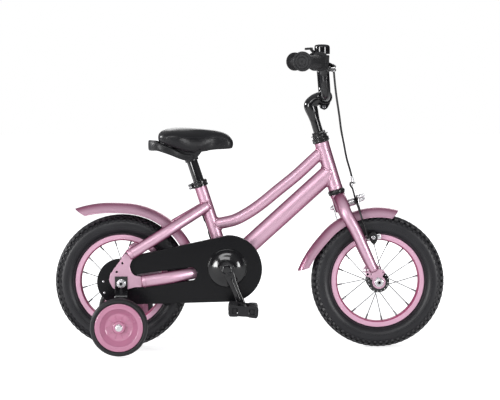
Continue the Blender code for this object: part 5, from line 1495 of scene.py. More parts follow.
def makeForkEyeletBolts():
    shape = bmesh.new()
    for side in (-1, 1):
        addTurned(shape, mm([(0, 54.8), (2.6, 54.6), (3.4, 53.6), (3.4, 51.4), (0, 51.4)]),
            (0.2945, 0, 0.164), (0, side, 0), 24, 0.0003)
    makePiece("forkTabBolts", shape, "brightSteel", "fork_set")


stabilisers = {
    "track": 0.186, "height": 0.069,
    "strip": mm([(66.55, 171.2), (66.55, 150), (66.55, 131), (70, 121.5), (95, 114), (130, 103.5), (153, 96),
        (160.5, 89), (161.5, 76), (161.5, 54)]),
    "stripWide": 0.029, "stripThick": 0.0035,
    "dish": mm([(6, 11.8), (12, 11.8), (13.2, 10.8), (14.2, 2), (15.8, -0.4), (29, -1), (31.8, 0.4),
        (34, 3.4), (41.2, 11.2), (42.4, 13.8), (44.2, 15), (52, 14.8), (54, 14), (54.5, 12)]),
    "tread": mm([(54.7, 11.2), (55.6, 13.8), (58, 15.2), (61, 15), (63.2, 13), (64.6, 9.2), (65, 5)]),
    "ribs": 10,
}


def makeStabiliser(side, word):
    s = stabilisers
    centre = Vector((-wheelX, side * s["track"], s["height"]))
    shape = bmesh.new()
    line = smoothed([(y, z, 0) for y, z in s["strip"]], 4)
    rows = []
    half, thick = s["stripWide"] / 2, s["stripThick"] / 2
    for i, point in enumerate(line):
        along = headingAt(line, i).normalized()
        normal = Vector((0, side * -along.y, along.x))
        middle = Vector((-wheelX, side * point.x, point.y))
        edge = 0.0008
        corners = [(-half + edge, -thick), (half - edge, -thick), (half, -thick + edge), (half, thick - edge),
            (half - edge, thick), (-half + edge, thick), (-half, thick - edge), (-half, -thick + edge)]
        rows.append([middle + Vector((x, 0, 0)) + normal * n for x, n in corners])
    skin(shape, rows)
    # two pressed ribs stiffen the sloping part
    for x in (-0.0075, 0.0075):
        rib = [Vector((-wheelX + x, side * p.x, p.y + 0.0012)) for p in line[12:28:3]]
        addPipe(shape, rib, 0.0022, 10, 2, dome=0.0015)
    makePiece("stabiliserStrip" + word, shape, "glossBlack", "frame_set",
        ["stabiliser_bracket_" + word.lower()])
    # the strip's long adjusting slot, its washer, and the wheel's bolt
    shape = bmesh.new()
    slot = belt((-wheelX, 0.1395), 0.0034, (-wheelX - 0.00001, 0.1325), 0.0034, 12)
    addPlate(shape, [(x, z) for x, z in slot], 0.0004, sideways(side * 0.06845), 0, 0)
    makePiece("stabiliserSlot" + word, shape, "blackPlastic", "frame_set")
    shape = bmesh.new()
    addTurned(shape, mm([(0, 155.5), (5, 155.5), (5, 197.5), (0, 197.5)]), (centre.x, 0, centre.z),
        (0, side, 0), 28, 0.0003)
    addTurned(shape, mm([(0, 197.5), (8, 197.5), (8.4, 198.2), (8, 199), (0, 199)]), (centre.x, 0, centre.z),
        (0, side, 0), 32, 0.0003)
    addHexagon(shape, 0.0112, 0.0036, (centre.x, side * 0.2005, centre.z), (0, side, 0), 0.2, 0.0008)
    makePiece("stabiliserBolt" + word, shape, "brightSteel", "frame_set")
    body = word.lower() + "_stabiliser"
    shape = bmesh.new()
    profile = s["dish"] + mm([(54.5, -12), (53, -14), (44, -15), (41.5, -14), (40, -7), (15, -7.5), (14, -14),
        (6, -14.5)])
    addTurned(shape, profile, centre, (0, side, 0), 96, 0.0007)
    for angle in turns(s["ribs"]):
        out = outAt(angle)
        place = standing(centre + out * 0.022 + leftBy(side * -0.0004), (0, side, 0), out)
        addBlock(shape, (0.0125, 0.0016, 0.0016), place)
    makePiece("stabiliserDisc" + word, shape, "pinkPlastic", body,
        ["stabiliser_wheel_" + word.lower()])
    shape = bmesh.new()
    tread = s["tread"] + [(r, -y) for r, y in reversed(s["tread"])]
    addTurned(shape, tread, centre, (0, side, 0), 96, 0.0006)
    for y in (-0.007, 0.0, 0.007):
        ring = [(0.0649 + 0.0004 * math.cos(a), y + 0.0009 * math.sin(a)) for a in turns(8)]
        addTurned(shape, ring, centre, (0, side, 0), 96, 0)
    makePiece("stabiliserTread" + word, shape, "wheelRubber", body,
        ["stabiliser_tyre_" + word.lower()])


makeAxleNuts()
makeForkEyeletBolts()
for side, word in hands:
    makeStabiliser(side, word)
print("stabilisers made")


# Saddle, its clamp and post

saddle = {
    # x, half width, top, low edge of the skirt
    "sections": mm([(-215, 40, 496, 479), (-208, 60, 505, 475.5), (-190, 70, 511, 469),
        (-165, 70, 512.5, 460), (-142, 60, 510, 451), (-120, 44, 508, 450), (-95, 31, 507, 457.5),
        (-70, 25, 505, 459), (-50, 22, 498.5, 458.5), (-37, 15, 484, 460)]),
    "slack": 0.0016,          # how far inside the finished skin the cloth starts
    "pressure": 4.0, "mass": 0.3, "stretch": 30, "bend": 4, "quality": 6,
    "voxel": 0.0045, "frames": 20, "mostTravel": 0.0045,
    "topRoom": 0.5138, "tailRoom": -0.2168,      # the pad keeps inside the room that its solid holds
    "pivot": Vector((-0.14291, 0, 0.45894)),
}


def saddleCage():
    # rings from tail to nose, each a crowned pad with a drawn-in skirt
    shape = bmesh.new()
    rows = []
    slack = saddle["slack"]
    for x, wide, top, low in saddle["sections"]:
        deep = top - low
        wide -= slack
        top -= slack
        half = [(0.0, top), (0.5 * wide, top - 0.02 * deep), (0.86 * wide, top - 0.12 * deep),
            (wide, top - 0.4 * deep), (0.93 * wide, low + 0.22 * deep), (0.85 * wide, low),
            (0.5 * wide, low + 0.1 * deep)]
        around = half + [(0.0, low + 0.16 * deep)] + [(-y, z) for y, z in reversed(half[1:])]
        rows.append([shape.verts.new((x, y, z)) for y, z in around])
    count = len(rows[0])
    for first, second in zip(rows, rows[1:]):
        for i in range(count):
            j = (i + 1) % count
            shape.faces.new((first[i], first[j], second[j], second[i]))
    shape.faces.new(rows[0])
    shape.faces.new(rows[-1][::-1])
    bmesh.ops.recalc_face_normals(shape, faces=shape.faces)
    return shape


def evaluated(piece):
    bpy.context.view_layer.update()
    return bpy.data.meshes.new_from_object(piece.evaluated_get(bpy.context.evaluated_depsgraph_get()))


def applyAll(piece):
    mesh = evaluated(piece)
    piece.modifiers.clear()
    piece.data = mesh


def makeCushion():
    piece = addObject("saddleCushion", saddleCage())
    soft = piece.modifiers.new("soft", "SUBSURF")
    soft.levels = soft.render_levels = 3
    applyAll(piece)
    blocks = piece.modifiers.new("blocks", "REMESH")
    blocks.mode = "VOXEL"
    blocks.voxel_size = saddle["voxel"]
    applyAll(piece)
    before = [v.co.copy() for v in piece.data.vertices]
    cloth = piece.modifiers.new("cloth", "CLOTH")
    settings = cloth.settings
    settings.quality = saddle["quality"]
    settings.mass = saddle["mass"]
    settings.use_pressure = True
    settings.uniform_pressure_force = saddle["pressure"]
    settings.tension_stiffness = settings.compression_stiffness = saddle["stretch"]
    settings.bending_stiffness = saddle["bend"]
    settings.effector_weights.gravity = 0
    for number in range(1, saddle["frames"] + 1):
        bpy.context.scene.frame_set(number)
    mesh = evaluated(piece)
    piece.modifiers.clear()
    bpy.context.scene.frame_set(1)
    for vertex, start in zip(mesh.vertices, before):
        move = vertex.co - start
        if move.length > saddle["mostTravel"]:
            vertex.co = start + move.normalized() * saddle["mostTravel"]
    piece.data = mesh
    print("saddle inflated")
    calm = piece.modifiers.new("calm", "SMOOTH")
    calm.factor = 0.5
    calm.iterations = 6
    soft = piece.modifiers.new("soft", "SUBSURF")
    soft.levels = soft.render_levels = 1
    applyAll(piece)
    for vertex in piece.data.vertices:
        vertex.co.z = min(vertex.co.z, saddle["topRoom"])
        vertex.co.x = max(vertex.co.x, saddle["tailRoom"])
    piece.data.shade_smooth()
    piece.data.materials.clear()
    piece.data.materials.append(finishes["saddleVinyl"])
    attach(piece, "seat")
    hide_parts("saddle_cover")
    return piece


seam = {
    "points": 40, "tail": -0.208, "long": 0.162, "height": 0.486,
    "bow": 0.006, "fall": 0.005, "radius": 0.0009,
}


def makeSaddleSeams(cushion):
    # piping laid on the finished skin, found by casting lines at it
    from mathutils.bvhtree import BVHTree
    tree = BVHTree.FromPolygons([v.co for v in cushion.data.vertices],
        [tuple(p.vertices) for p in cushion.data.polygons])
    shape = bmesh.new()
    for side in (-1, 1):
        line = []
        for k in range(seam["points"]):
            share = k / (seam["points"] - 1)
            x = seam["tail"] + seam["long"] * share
            height = seam["height"] + seam["bow"] * math.sin(math.pi * share) - seam["fall"] * share
            hit, normal = tree.ray_cast(Vector((x, side * 0.12, height)), leftBy(-side))[:2]
            if hit is not None:
                line.append(hit + normal * 0.0002)
        addPipe(shape, line, seam["radius"], 8, 2, dome=0.0008)
    makePiece("saddlePiping", shape, "seamThread", "seat")


handle = {
    # middle line of the grab handle's band: x, y, middle height, height of the band
    "line": mm([(-133, 38.5, 444, 11), (-148, 39.5, 444, 15), (-163, 42, 448.5, 16.2),
        (-180, 46.5, 456.5, 18), (-198, 48, 463.5, 18.6), (-214, 43, 469, 20), (-226, 29, 470, 22.5),
        (-231.5, 13, 470.7, 24.4), (-232.5, 0, 470.9, 25)]),
    "thick": 0.008,
    # side view of the skirts that join the band to the underside: x, z
    "skirt": mm([(-110, 460), (-113.5, 454.8), (-119.5, 447), (-125, 440.5), (-139, 437.2), (-152, 437.6),
        (-166, 442.5), (-185, 452), (-188, 464), (-150, 464)]),
    # the pan under the pad, seen from above: x, half width
    "pan": mm([(-204, 30), (-196, 44), (-178, 54), (-156, 52), (-134, 38), (-112, 26), (-86, 19), (-62, 12.5),
        (-48, 8)]),
}


def makeSaddleFrame():
    shape = bmesh.new()
    half = handle["line"]
    route = half + [(x, -y, z, h) for x, y, z, h in reversed(half[:-1])]
    line = smoothed(route, 5)
    rows = []
    for i, point in enumerate(line):
        along = headingAt(line, i).to_3d()
        along.z = 0
        out = along.cross(Vector((0, 0, 1))).normalized()
        tall = point[3] / 2
        section = []
        for a in turns(20):
            c, s = math.cos(a), math.sin(a)
            section.append(point.to_3d() + out * (handle["thick"] / 2 * abs(c) ** 0.6 * (1 if c > 0 else -1))
                + Vector((0, 0, tall * abs(s) ** 0.6 * (1 if s > 0 else -1))))
        rows.append(section)
    skin(shape, rows)
    outline = handle["pan"] + [(x, -y) for x, y in reversed(handle["pan"])]
    addPlate(shape, outline, 0.0046, shifted((0, 0, 0.47)), 0.0012, 0.006)
    for side in (-1, 1):
        addPlate(shape, handle["skirt"], 0.003, sideways(side * 0.0366), 0.0008, 0.003)
        addBlock(shape, (0.036, 0.0036, 0.012), shifted((-0.17, side * 0.033, 0.464)), 0.0012)
    makePiece("saddlePan", shape, "blackPlastic", "seat", ["saddle_base"])
    x, z = saddle["pivot"].x, saddle["pivot"].z
    shape = bmesh.new()
    rail = [(-0.188, 0.029, 0.474), (-0.183, 0.029, 0.4715), (x - 0.025, 0.024, z + 0.0045),
        (x - 0.012, 0.0225, z), (x + 0.016, 0.0225, z), (-0.09, 0.017, 0.469), (-0.076, 0.013, 0.472),
        (-0.067, 0.006, 0.473), (-0.0655, 0.0, 0.4732)]
    route = rail + [(a, -b, c) for a, b, c in reversed(rail[:-1])]
    addPipe(shape, route, 0.0033, 14, 6, dome=0.001)
    makePiece("saddleRail", shape, "glossBlack", "seat", ["saddle_rails"])
    shape = bmesh.new()
    for side in (-1, 1):
        addTurned(shape, mm([(4.2, 17), (11.6, 17), (12.2, 17.8), (12.2, 27.2), (11.2, 28.4), (4.2, 28.4)]),
            saddle["pivot"], (0, side, 0), 32, 0.0006)
        for a in turns(16):
            out = outAt(a)
            addBlock(shape, (0.001, 0.009, 0.0014), standing(saddle["pivot"] + out * 0.0121
                + leftBy(side * 0.0225), (0, 1, 0), out) @ Matrix.Rotation(math.pi / 2, 4, "X"), 0)
    makePiece("railWashers", shape, "blackPaint", "seat")


post = {"foot": 0.0717, "top": 0.2717, "inner": 0.0115, "outer": 0.0127}      # along the seat tube's line


def makeSeatPost():
    shape = bmesh.new()
    foot, top = post["foot"], post["top"]
    inner, outer = post["inner"], post["outer"]
    addTurned(shape, [(inner, foot), (outer, foot), (outer, top), (inner, top)], bracket, seatUp)
    makePiece("seatPostTube", shape, "glossBlack", "seat_column", ["seat_post"])
    shape = bmesh.new()
    addTurned(shape, mm([(13.1, -14), (15.4, -14), (15.8, -13.2), (15.8, 3), (14.5, 4.8), (0, 5.2), (0, 1),
        (13.1, 1)], top), bracket, seatUp, 44, 0.0005, loop=False)
    addTurned(shape, mm([(0, -15), (10.4, -15), (11, -14.3), (11, 14.3), (10.4, 15), (0, 15)]),
        saddle["pivot"], (0, 1, 0), 36)
    makePiece("saddleClampBlock", shape, "blackPaint", "seat_column", ["saddle_clamp"])
    shape = bmesh.new()
    addTurned(shape, mm([(0, -32.5), (3.8, -32.5), (3.8, 32.5), (0, 32.5)]), saddle["pivot"], (0, 1, 0), 24)
    for side in (-1, 1):
        addHexagon(shape, 0.0118, 0.0042, saddle["pivot"] + leftBy(side * 0.0308), (0, side, 0), 0.1, 0.0006)
    makePiece("saddleClampBolt", shape, "brightSteel", "seat_column")


cushion = makeCushion()
makeSaddleSeams(cushion)
makeSaddleFrame()
makeSeatPost()
print("saddle made")


# Stem, handlebar and grips

bar = {
    "clamp": Vector((0.1735, 0, 0.5827)),
    "radius": 0.0111,
    "half": mm([(173.5, 0, 582.7), (173.5, 24, 582.7), (173.5, 44, 585), (172.8, 57, 595), (171.2, 61.5, 615),
        (169.2, 64, 640), (167, 70, 656), (164, 83, 663.6), (157, 115, 664.6), (134, 170, 664.6),
        (113.5, 219, 664.6)]),
    "gripStart": Vector((0.157, 0.115, 0.6646)), "gripEnd": Vector((0.111, 0.225, 0.6646)),
}
stem = {
    "neck": [(*onHead(0.17), 0.0116), (*onHead(0.18), 0.0128), (*onHead(0.1905), 0.0146),
        (0.1405, 0, 0.5635, 0.0152), (0.1475, 0, 0.5725, 0.015), (0.1585, 0, 0.5785, 0.0148),
        (0.17, 0, 0.5815, 0.0146)],
    "clampRadius": 0.0168, "clampHalf": 0.019,
    # the split ears under the bar
    "ears": mm([(181.2, 570), (186.8, 574), (184.6, 566), (179, 556.2), (172.2, 552.4), (163.8, 555.6),
        (161.6, 561), (164, 568), (170, 573)]),
}


def makeStem():
    shape = bmesh.new()
    addTurned(shape, mm([(0, 45), (11.1, 45), (11.1, 172), (11.1, 176), (0, 176)]), onHead(0), headUp)
    addPipe(shape, stem["neck"], sides=40, perSpan=6, dome=0.004)
    half, radius = stem["clampHalf"], stem["clampRadius"]
    addTurned(shape, [(0.0117, -half), (radius - 0.0012, -half), (radius, -half + 0.0012), (radius, -0.0008),
        (radius - 0.0012, -0.0003), (radius - 0.0012, 0.0003), (radius, 0.0008), (radius, half - 0.0012),
        (radius - 0.0012, half), (0.0117, half)], bar["clamp"], (0, 1, 0), 56)
    # the ears are drawn together by one bolt
    for side in (-1, 1):
        addPlate(shape, stem["ears"], 0.012, sideways(side * 0.0068), 0.0012, 0.0016, 3, 3)
    makePiece("stemNeck", shape, "glossBlack", "cockpit", ["stem"])
    shape = bmesh.new()
    for side in (-1, 1):
        spot = Vector((0.1716, side * 0.0128, 0.5596))
        addTurned(shape, mm([(1.9, -1.6), (1.9, 0.8), (3, 1.2), (3.8, 0.8), (4, 0), (4, -1.6)]), spot,
            (0, side, 0), 28, 0.0003)
    # a hexagon bolt on top of the quill draws up its wedge
    addTurned(shape, mm([(0, 0), (6.2, 0), (6.6, 1), (6.6, 5), (5.8, 5.8), (3.2, 5.8), (3.2, 3), (0, 3)]),
        onHead(0.2045, 0.001), headUp, 32)
    makePiece("stemBolts", shape, "darkSteel", "cockpit")


def makeHandlebar():
    shape = bmesh.new()
    half = bar["half"]
    route = [(x, -y, z) for x, y, z in reversed(half[1:])] + half
    addPipe(shape, route, bar["radius"], 36, 7, across=(1, 0, 0), dome=0.001)
    # rings rolled into the middle of the bar keep it from turning
    for k in range(5):
        for side in (-1, 1):
            y = side * (0.0205 + 0.0014 * k)
            ring = mm([(11.05, -0.4), (11.3, 0), (11.05, 0.4)], y)
            addTurned(shape, ring, bar["clamp"], (0, 1, 0), 36, 0)
    makePiece("handlebarTube", shape, "glossBlack", "cockpit", ["handlebar"])


grips = {"radius": 0.0138, "flange": 0.0222, "ribs": 17}


def makeGrip(side, word):
    start = Vector((bar["gripStart"].x, side * bar["gripStart"].y, bar["gripStart"].z))
    stop = Vector((bar["gripEnd"].x, side * bar["gripEnd"].y, bar["gripEnd"].z))
    length = (stop - start).length
    flange, radius = grips["flange"], grips["radius"]
    profile = [(0.0116, 0.0), (flange - 0.0012, 0.0), (flange, 0.0012), (flange, 0.003),
        (flange - 0.001, 0.004), (radius + 0.0026, 0.0056), (radius + 0.0006, 0.0085)]
    first, last = 0.01, length - 0.012
    for k in range(grips["ribs"]):
        middle = first + (last - first) * (k + 0.5) / grips["ribs"]
        step = (last - first) / grips["ribs"]
        profile += [(radius - 0.0002, middle - step * 0.46), (radius + 0.0008, middle - step * 0.22),
            (radius + 0.0008, middle + step * 0.22), (radius - 0.0002, middle + step * 0.46)]
    end = length
    profile += [(radius + 0.0006, end - 0.01), (radius + 0.0026, end - 0.007), (flange - 0.001, end - 0.0056),
        (flange, end - 0.0046), (flange, end - 0.0018), (flange - 0.0014, end - 0.0004),
        (0.018, end - 0.0002), (0.0172, end - 0.0012), (0.0164, end - 0.0012), (0.0156, end - 0.0003),
        (0.0112, end - 0.0003), (0.0104, end - 0.0013), (0.0094, end - 0.0013), (0.0086, end - 0.0005),
        (0.0022, end - 0.0005), (0.0018, end - 0.0024), (0, end - 0.0024)]
    shape = bmesh.new()
    addTurned(shape, [(0, 0.0)] + profile, start, stop - start, 72, 0.00025)
    makePiece("gripSleeve" + word, shape, "gripRubber", "cockpit", ["grip_" + word.lower()])


makeStem()
makeHandlebar()
for side, word in hands:
    makeGrip(side, word)
print("stem, handlebar and grips made")


# Bell and its thumb lever

bell = {
    "centre": Vector((0.1722, 0.095, 0.0)),
    "dome": mm([(16.6, 682.2), (17.8, 682), (18.3, 683), (18.3, 696), (18.2, 699.5), (17.4, 702.4),
        (15.6, 704.2), (12, 705.4), (6, 706.1), (0, 706.3), (0, 704.9), (11, 704.1), (15.2, 701.6),
        (16.6, 697.5)]),
    # x, y, z, radius
    "lever": mm([(157, 95, 682.2, 2.2), (153.5, 95, 685, 3), (150, 95, 689, 3.6), (146.2, 95, 692.6, 3.2)]),
    "pad": mm([(-10, -6.2), (7, -5.6), (9.6, -3), (9.6, 3), (7, 5.6), (-10, 6.2)]),
    "padAt": (0.1408, 0.095, 0.6948), "padTilt": math.radians(-4), "padRibs": 4,
    "arm": mm([(-12, -4), (-12, 4), (0, 5.5), (0, -5.5)]), "armAt": (0.165, 0.095, 0.6811),
}


def makeBell():
    shape = bmesh.new()
    addTurned(shape, bell["dome"], bell["centre"], (0, 0, 1), 64, loop=False)
    makePiece("bellDome", shape, "glossBlack", "cockpit", ["bell"])
    shape = bmesh.new()
    centre = bell["centre"]
    addTurned(shape, mm([(0, 656), (12, 656), (15.2, 658), (16.8, 664), (17.4, 678), (17, 679.6),
        (6.4, 679.8), (6, 682), (5.8, 704.4), (0, 704.4)]), centre, (0, 0, 1))
    ahead = (Vector((0.16, 0.1015, 0.6642)) - Vector((0.1628, 0.0885, 0.6638))).normalized()
    middle = Vector((0.1614, 0.095, 0.664))
    addTurned(shape, mm([(11.2, -6.2), (13.6, -6.2), (14.2, -5.6), (14.2, 5.6), (13.6, 6.2), (11.2, 6.2)]),
        middle, ahead, 44, 0.0005)
    addBlock(shape, (0.017, 0.012, 0.01), shifted((0.1705, 0.095, 0.6728)), 0.0016, 3)
    addBlock(shape, (0.008, 0.0118, 0.006), shifted((0.15, 0.0974, 0.6592)), 0.0012)
    makePiece("bellFoot", shape, "blackPlastic", "cockpit")
    shape = bmesh.new()
    addTurned(shape, mm([(6.1, 680.3), (9.6, 680.3), (10, 680.6), (10, 681.6), (9.6, 681.9), (6.1, 681.9)]),
        centre, (0, 0, 1), 36, 0.0002)
    addPipe(shape, bell["lever"], sides=16, perSpan=5, dome=0.002)
    place = shifted(bell["padAt"]) @ Matrix.Rotation(bell["padTilt"], 4, "Y")
    addPlate(shape, bell["pad"], 0.0052, place, 0.0016, 0.003, 4, 3)
    addPlate(shape, bell["arm"], 0.0016, shifted(bell["armAt"]), 0.0003, 0.0008, 2, 1)
    for k in range(bell["padRibs"]):
        rib = place @ shifted((-0.007 + 0.0034 * k, 0, 0.0027))
        addBlock(shape, (0.0012, 0.0096, 0.0008), rib, 0.0003, 1)
    makePiece("bellThumbLever", shape, "blackPlastic", "thumb_lever", ["bell_lever"])


makeBell()
print("bell made")


# Brake lever and its bracket

leverHand = {
    "pivot": Vector((0.1862, -0.105, 0.6501)),
    "axis": Vector((-0.475, 0, -0.88)).normalized(),
    "blade": mm([(186.2, -105, 650.1, 4.2), (186.8, -116, 649.8, 4), (187, -135, 649, 3.8),
        (183, -165, 648, 3.7), (176, -190, 647.5, 3.7), (172.5, -204, 647.5, 4)]),
    "cheek": mm([(-12, -9.5), (2.2, -9.5), (4.8, -6), (5.2, 0), (4, 7), (-1, 10.5), (-12, 10.5)]),
    "cheekGap": 0.006, "ballRadius": 0.0056,
    "barrelRadius": 0.0042, "barrelTeeth": 14, "teethAt": 0.0101,
}


def leverSpot(out, acrossBar, along=0.0):
    axis = leverHand["axis"]
    away = Vector((-axis.z, 0, axis.x))
    return leverHand["pivot"] + away * out + leftBy(acrossBar) + axis * along


def makeLever():
    axis = leverHand["axis"]
    away = Vector((-axis.z, 0, axis.x))
    turn = Matrix((away, (0, 1, 0), away.cross(leftBy(1)))).transposed().to_4x4()
    shape = bmesh.new()
    first, second = Vector((0.1624, -0.0905, 0.6638)), Vector((0.1593, -0.1045, 0.6643))
    span = (second - first).length
    addTurned(shape, [(0.0117, 0.0), (0.014, 0.0), (0.0146, 0.0006), (0.0146, span - 0.0006), (0.014, span),
        (0.0117, span)], first, second - first, 48, 0.0005)
    for x, y, size in ((-0.0135, 0.0055, (0.019, 0.0076, 0.015)), (-0.008, 0.0125, (0.008, 0.018, 0.0084))):
        addBlock(shape, size, shifted(leverSpot(x, y)) @ turn, 0.0018, 3)
    for end in (-1, 1):
        place = shifted(leverSpot(0, 0, end * leverHand["cheekGap"])) @ turn
        addPlate(shape, leverHand["cheek"], 0.0026, place)
    # the hooked nose that guards the cable's barrel
    nose = [(*leverSpot(-0.004, 0.0125, 0.0062), 0.0022), (*leverSpot(0.003, 0.0125, 0.0066), 0.0021),
        (*leverSpot(0.0075, 0.0122, 0.004), 0.0019), (*leverSpot(0.0085, 0.012, 0.0005), 0.0016)]
    addPipe(shape, nose, sides=12, perSpan=5, dome=0.0012)
    makePiece("leverBracket", shape, "blackPlastic", "cockpit", ["brake_lever_bracket"])
    shape = bmesh.new()
    top, foot = Vector((0.1866, -0.0925, 0.658)), Vector((0.1893, -0.093, 0.641))
    down = foot - top
    addTurned(shape, mm([(0, -1), (2.6, -1), (3.4, 0), (4.2, 0.6), (4.2, 5), (3.6, 5.6), (3.6, 6.8),
        (4.2, 7.4), (4.2, 12.8), (3, 15), (2.7, 17), (0, 17)]), top, down, 32, 0.0003)
    frameOf = basis(down)
    radius = leverHand["barrelRadius"]
    for a in turns(leverHand["barrelTeeth"]):
        spot = top + frameOf @ Vector((radius * math.cos(a), radius * math.sin(a), leverHand["teethAt"]))
        out = frameOf @ Vector((math.cos(a), math.sin(a), 0))
        addBlock(shape, (0.0008, 0.0008, 0.0044), standing(spot, down, out), 0)
    addTurned(shape, mm([(0, -8.2), (2.8, -8.2), (3.4, -7.8), (3.4, -7), (2, -6.8), (2, 6.8), (3.4, 7),
        (3.4, 7.8), (2.8, 8.2), (0, 8.2)]), leverSpot(0, 0), axis, 24, 0.0002)
    makePiece("leverBarrel", shape, "brightSteel", "cockpit")
    shape = bmesh.new()
    addTurned(shape, mm([(2.6, -4.2), (5.2, -4.2), (5.6, -3.8), (5.6, 3.8), (5.2, 4.2), (2.6, 4.2)]),
        leverSpot(0, 0), axis, 32, 0.0003)
    addPipe(shape, leverHand["blade"], sides=20, perSpan=6, across=axis, tall=0.72, dome=0.0028)
    ball = Vector(leverHand["blade"][-1][:3])
    size = leverHand["ballRadius"]
    half = [(size * math.sin(math.pi * k / 12), -size * math.cos(math.pi * k / 12)) for k in range(13)]
    addTurned(shape, half, ball, (0, 1, 0), 24, 0)
    makePiece("leverBlade", shape, "glossBlack", "hand_lever", ["brake_lever"])


makeLever()
print("brake lever made")


# Brake cable, from the lever's barrel to the stop on the near arm

cableRoute = mm([(189.4, -93, 640), (191.2, -90, 622), (195.3, -85, 588.7), (202.8, -75, 542.6),
    (208, -65, 507.9), (215.4, -55, 473.1), (221.9, -45, 442.7), (230.4, -37, 414.6), (237.8, -30.5, 387.2)])


def makeCable():
    shape = bmesh.new()
    addPipe(shape, cableRoute, 0.0024, 14, dome=0.0006)
    bmesh.ops.recalc_face_normals(shape, faces=shape.faces)
    cable = addObject("brakeCableSleeve", shape, finishes["cableSkin"])
    cable.data.shade_smooth()
    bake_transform(cable)
    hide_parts("brake_cable")
    # the bright ferrule at its foot; the bare wire below it is made with the cable anchor
    shape = bmesh.new()
    foot, before = Vector(cableRoute[-1]), Vector(cableRoute[-2])
    down = (foot - before).normalized()
    addTurned(shape, mm([(0, -14), (2.7, -14), (3.1, -13.2), (3.1, -3), (3.6, -2.2), (3.6, 0.2), (3, 0.8),
        (0, 0.8)]), foot, down, 24, 0.0003)
    makePiece("cableFerrule", shape, "brightSteel", "fork_set")


makeCable()


# Front brake

brake = {
    "drop": -0.04, "plane": {-1: 0.0365, 1: 0.0411}, "thick": 0.0038,
    "lower": mm([(0, 0), (17, -4), (30, -13.5), (40, -29), (44.6, -48), (44.2, -64), (40.5, -79), (36, -89)]),
    "lowerWide": [0.0085, 0.0076, 0.0066, 0.0058, 0.0052, 0.0048, 0.0044, 0.004],
    "upperWide": [0.008, 0.0064, 0.0052, 0.0046, 0.0044],
    "shoeAngle": 96.5, "shoeReach": 0.103, "shoeSide": 0.0195,      # the shoe's middle, seen from the axle
    "upper": {-1: mm([(0, 0), (-10, 6), (-19, 15), (-25, 27), (-26.8, 35)]),
        1: mm([(0, 0), (-9, 3.5), (-18, 7), (-27.5, 10)])},
    "channel": (0.035, 0.0034, 0.0118), "clip": (0.0085, 0.0052, 0.0124), "clipAt": 0.0133,
    "rubber": (0.036, 0.0042, 0.01), "groove": (0.005, 0.0016, 0.0104), "grooveStep": 0.011,
    "eyeOut": 0.0085, "eyeHigh": 0.015, "eyeLong": 0.009,
    "stop": Vector((0.2377, -0.03, 0.385)),         # where the cable's foot stands on the near arm
}


def brakePlace(ahead):
    # X to the left, Y up along the steering axis
    up, forward = headUp, headAhead
    turn = Matrix(((0, up.x, forward.x, 0), (1, 0, 0, 0), (0, up.z, forward.z, 0), (0, 0, 0, 1)))
    return shifted(onHead(brake["drop"], ahead)) @ turn


def stripOutline(points, widths):
    line = [Vector((p[0], p[1], w)) for p, w in zip(points, widths)]
    line = smoothed(line, 5)
    near, far = [], []
    for i, point in enumerate(line):
        along = headingAt(line, i).to_2d().normalized()
        normal = Vector((-along.y, along.x))
        near.append(point.to_2d() + normal * point.z)
        far.append(point.to_2d() - normal * point.z)
    return [tuple(p) for p in near + far[::-1]]


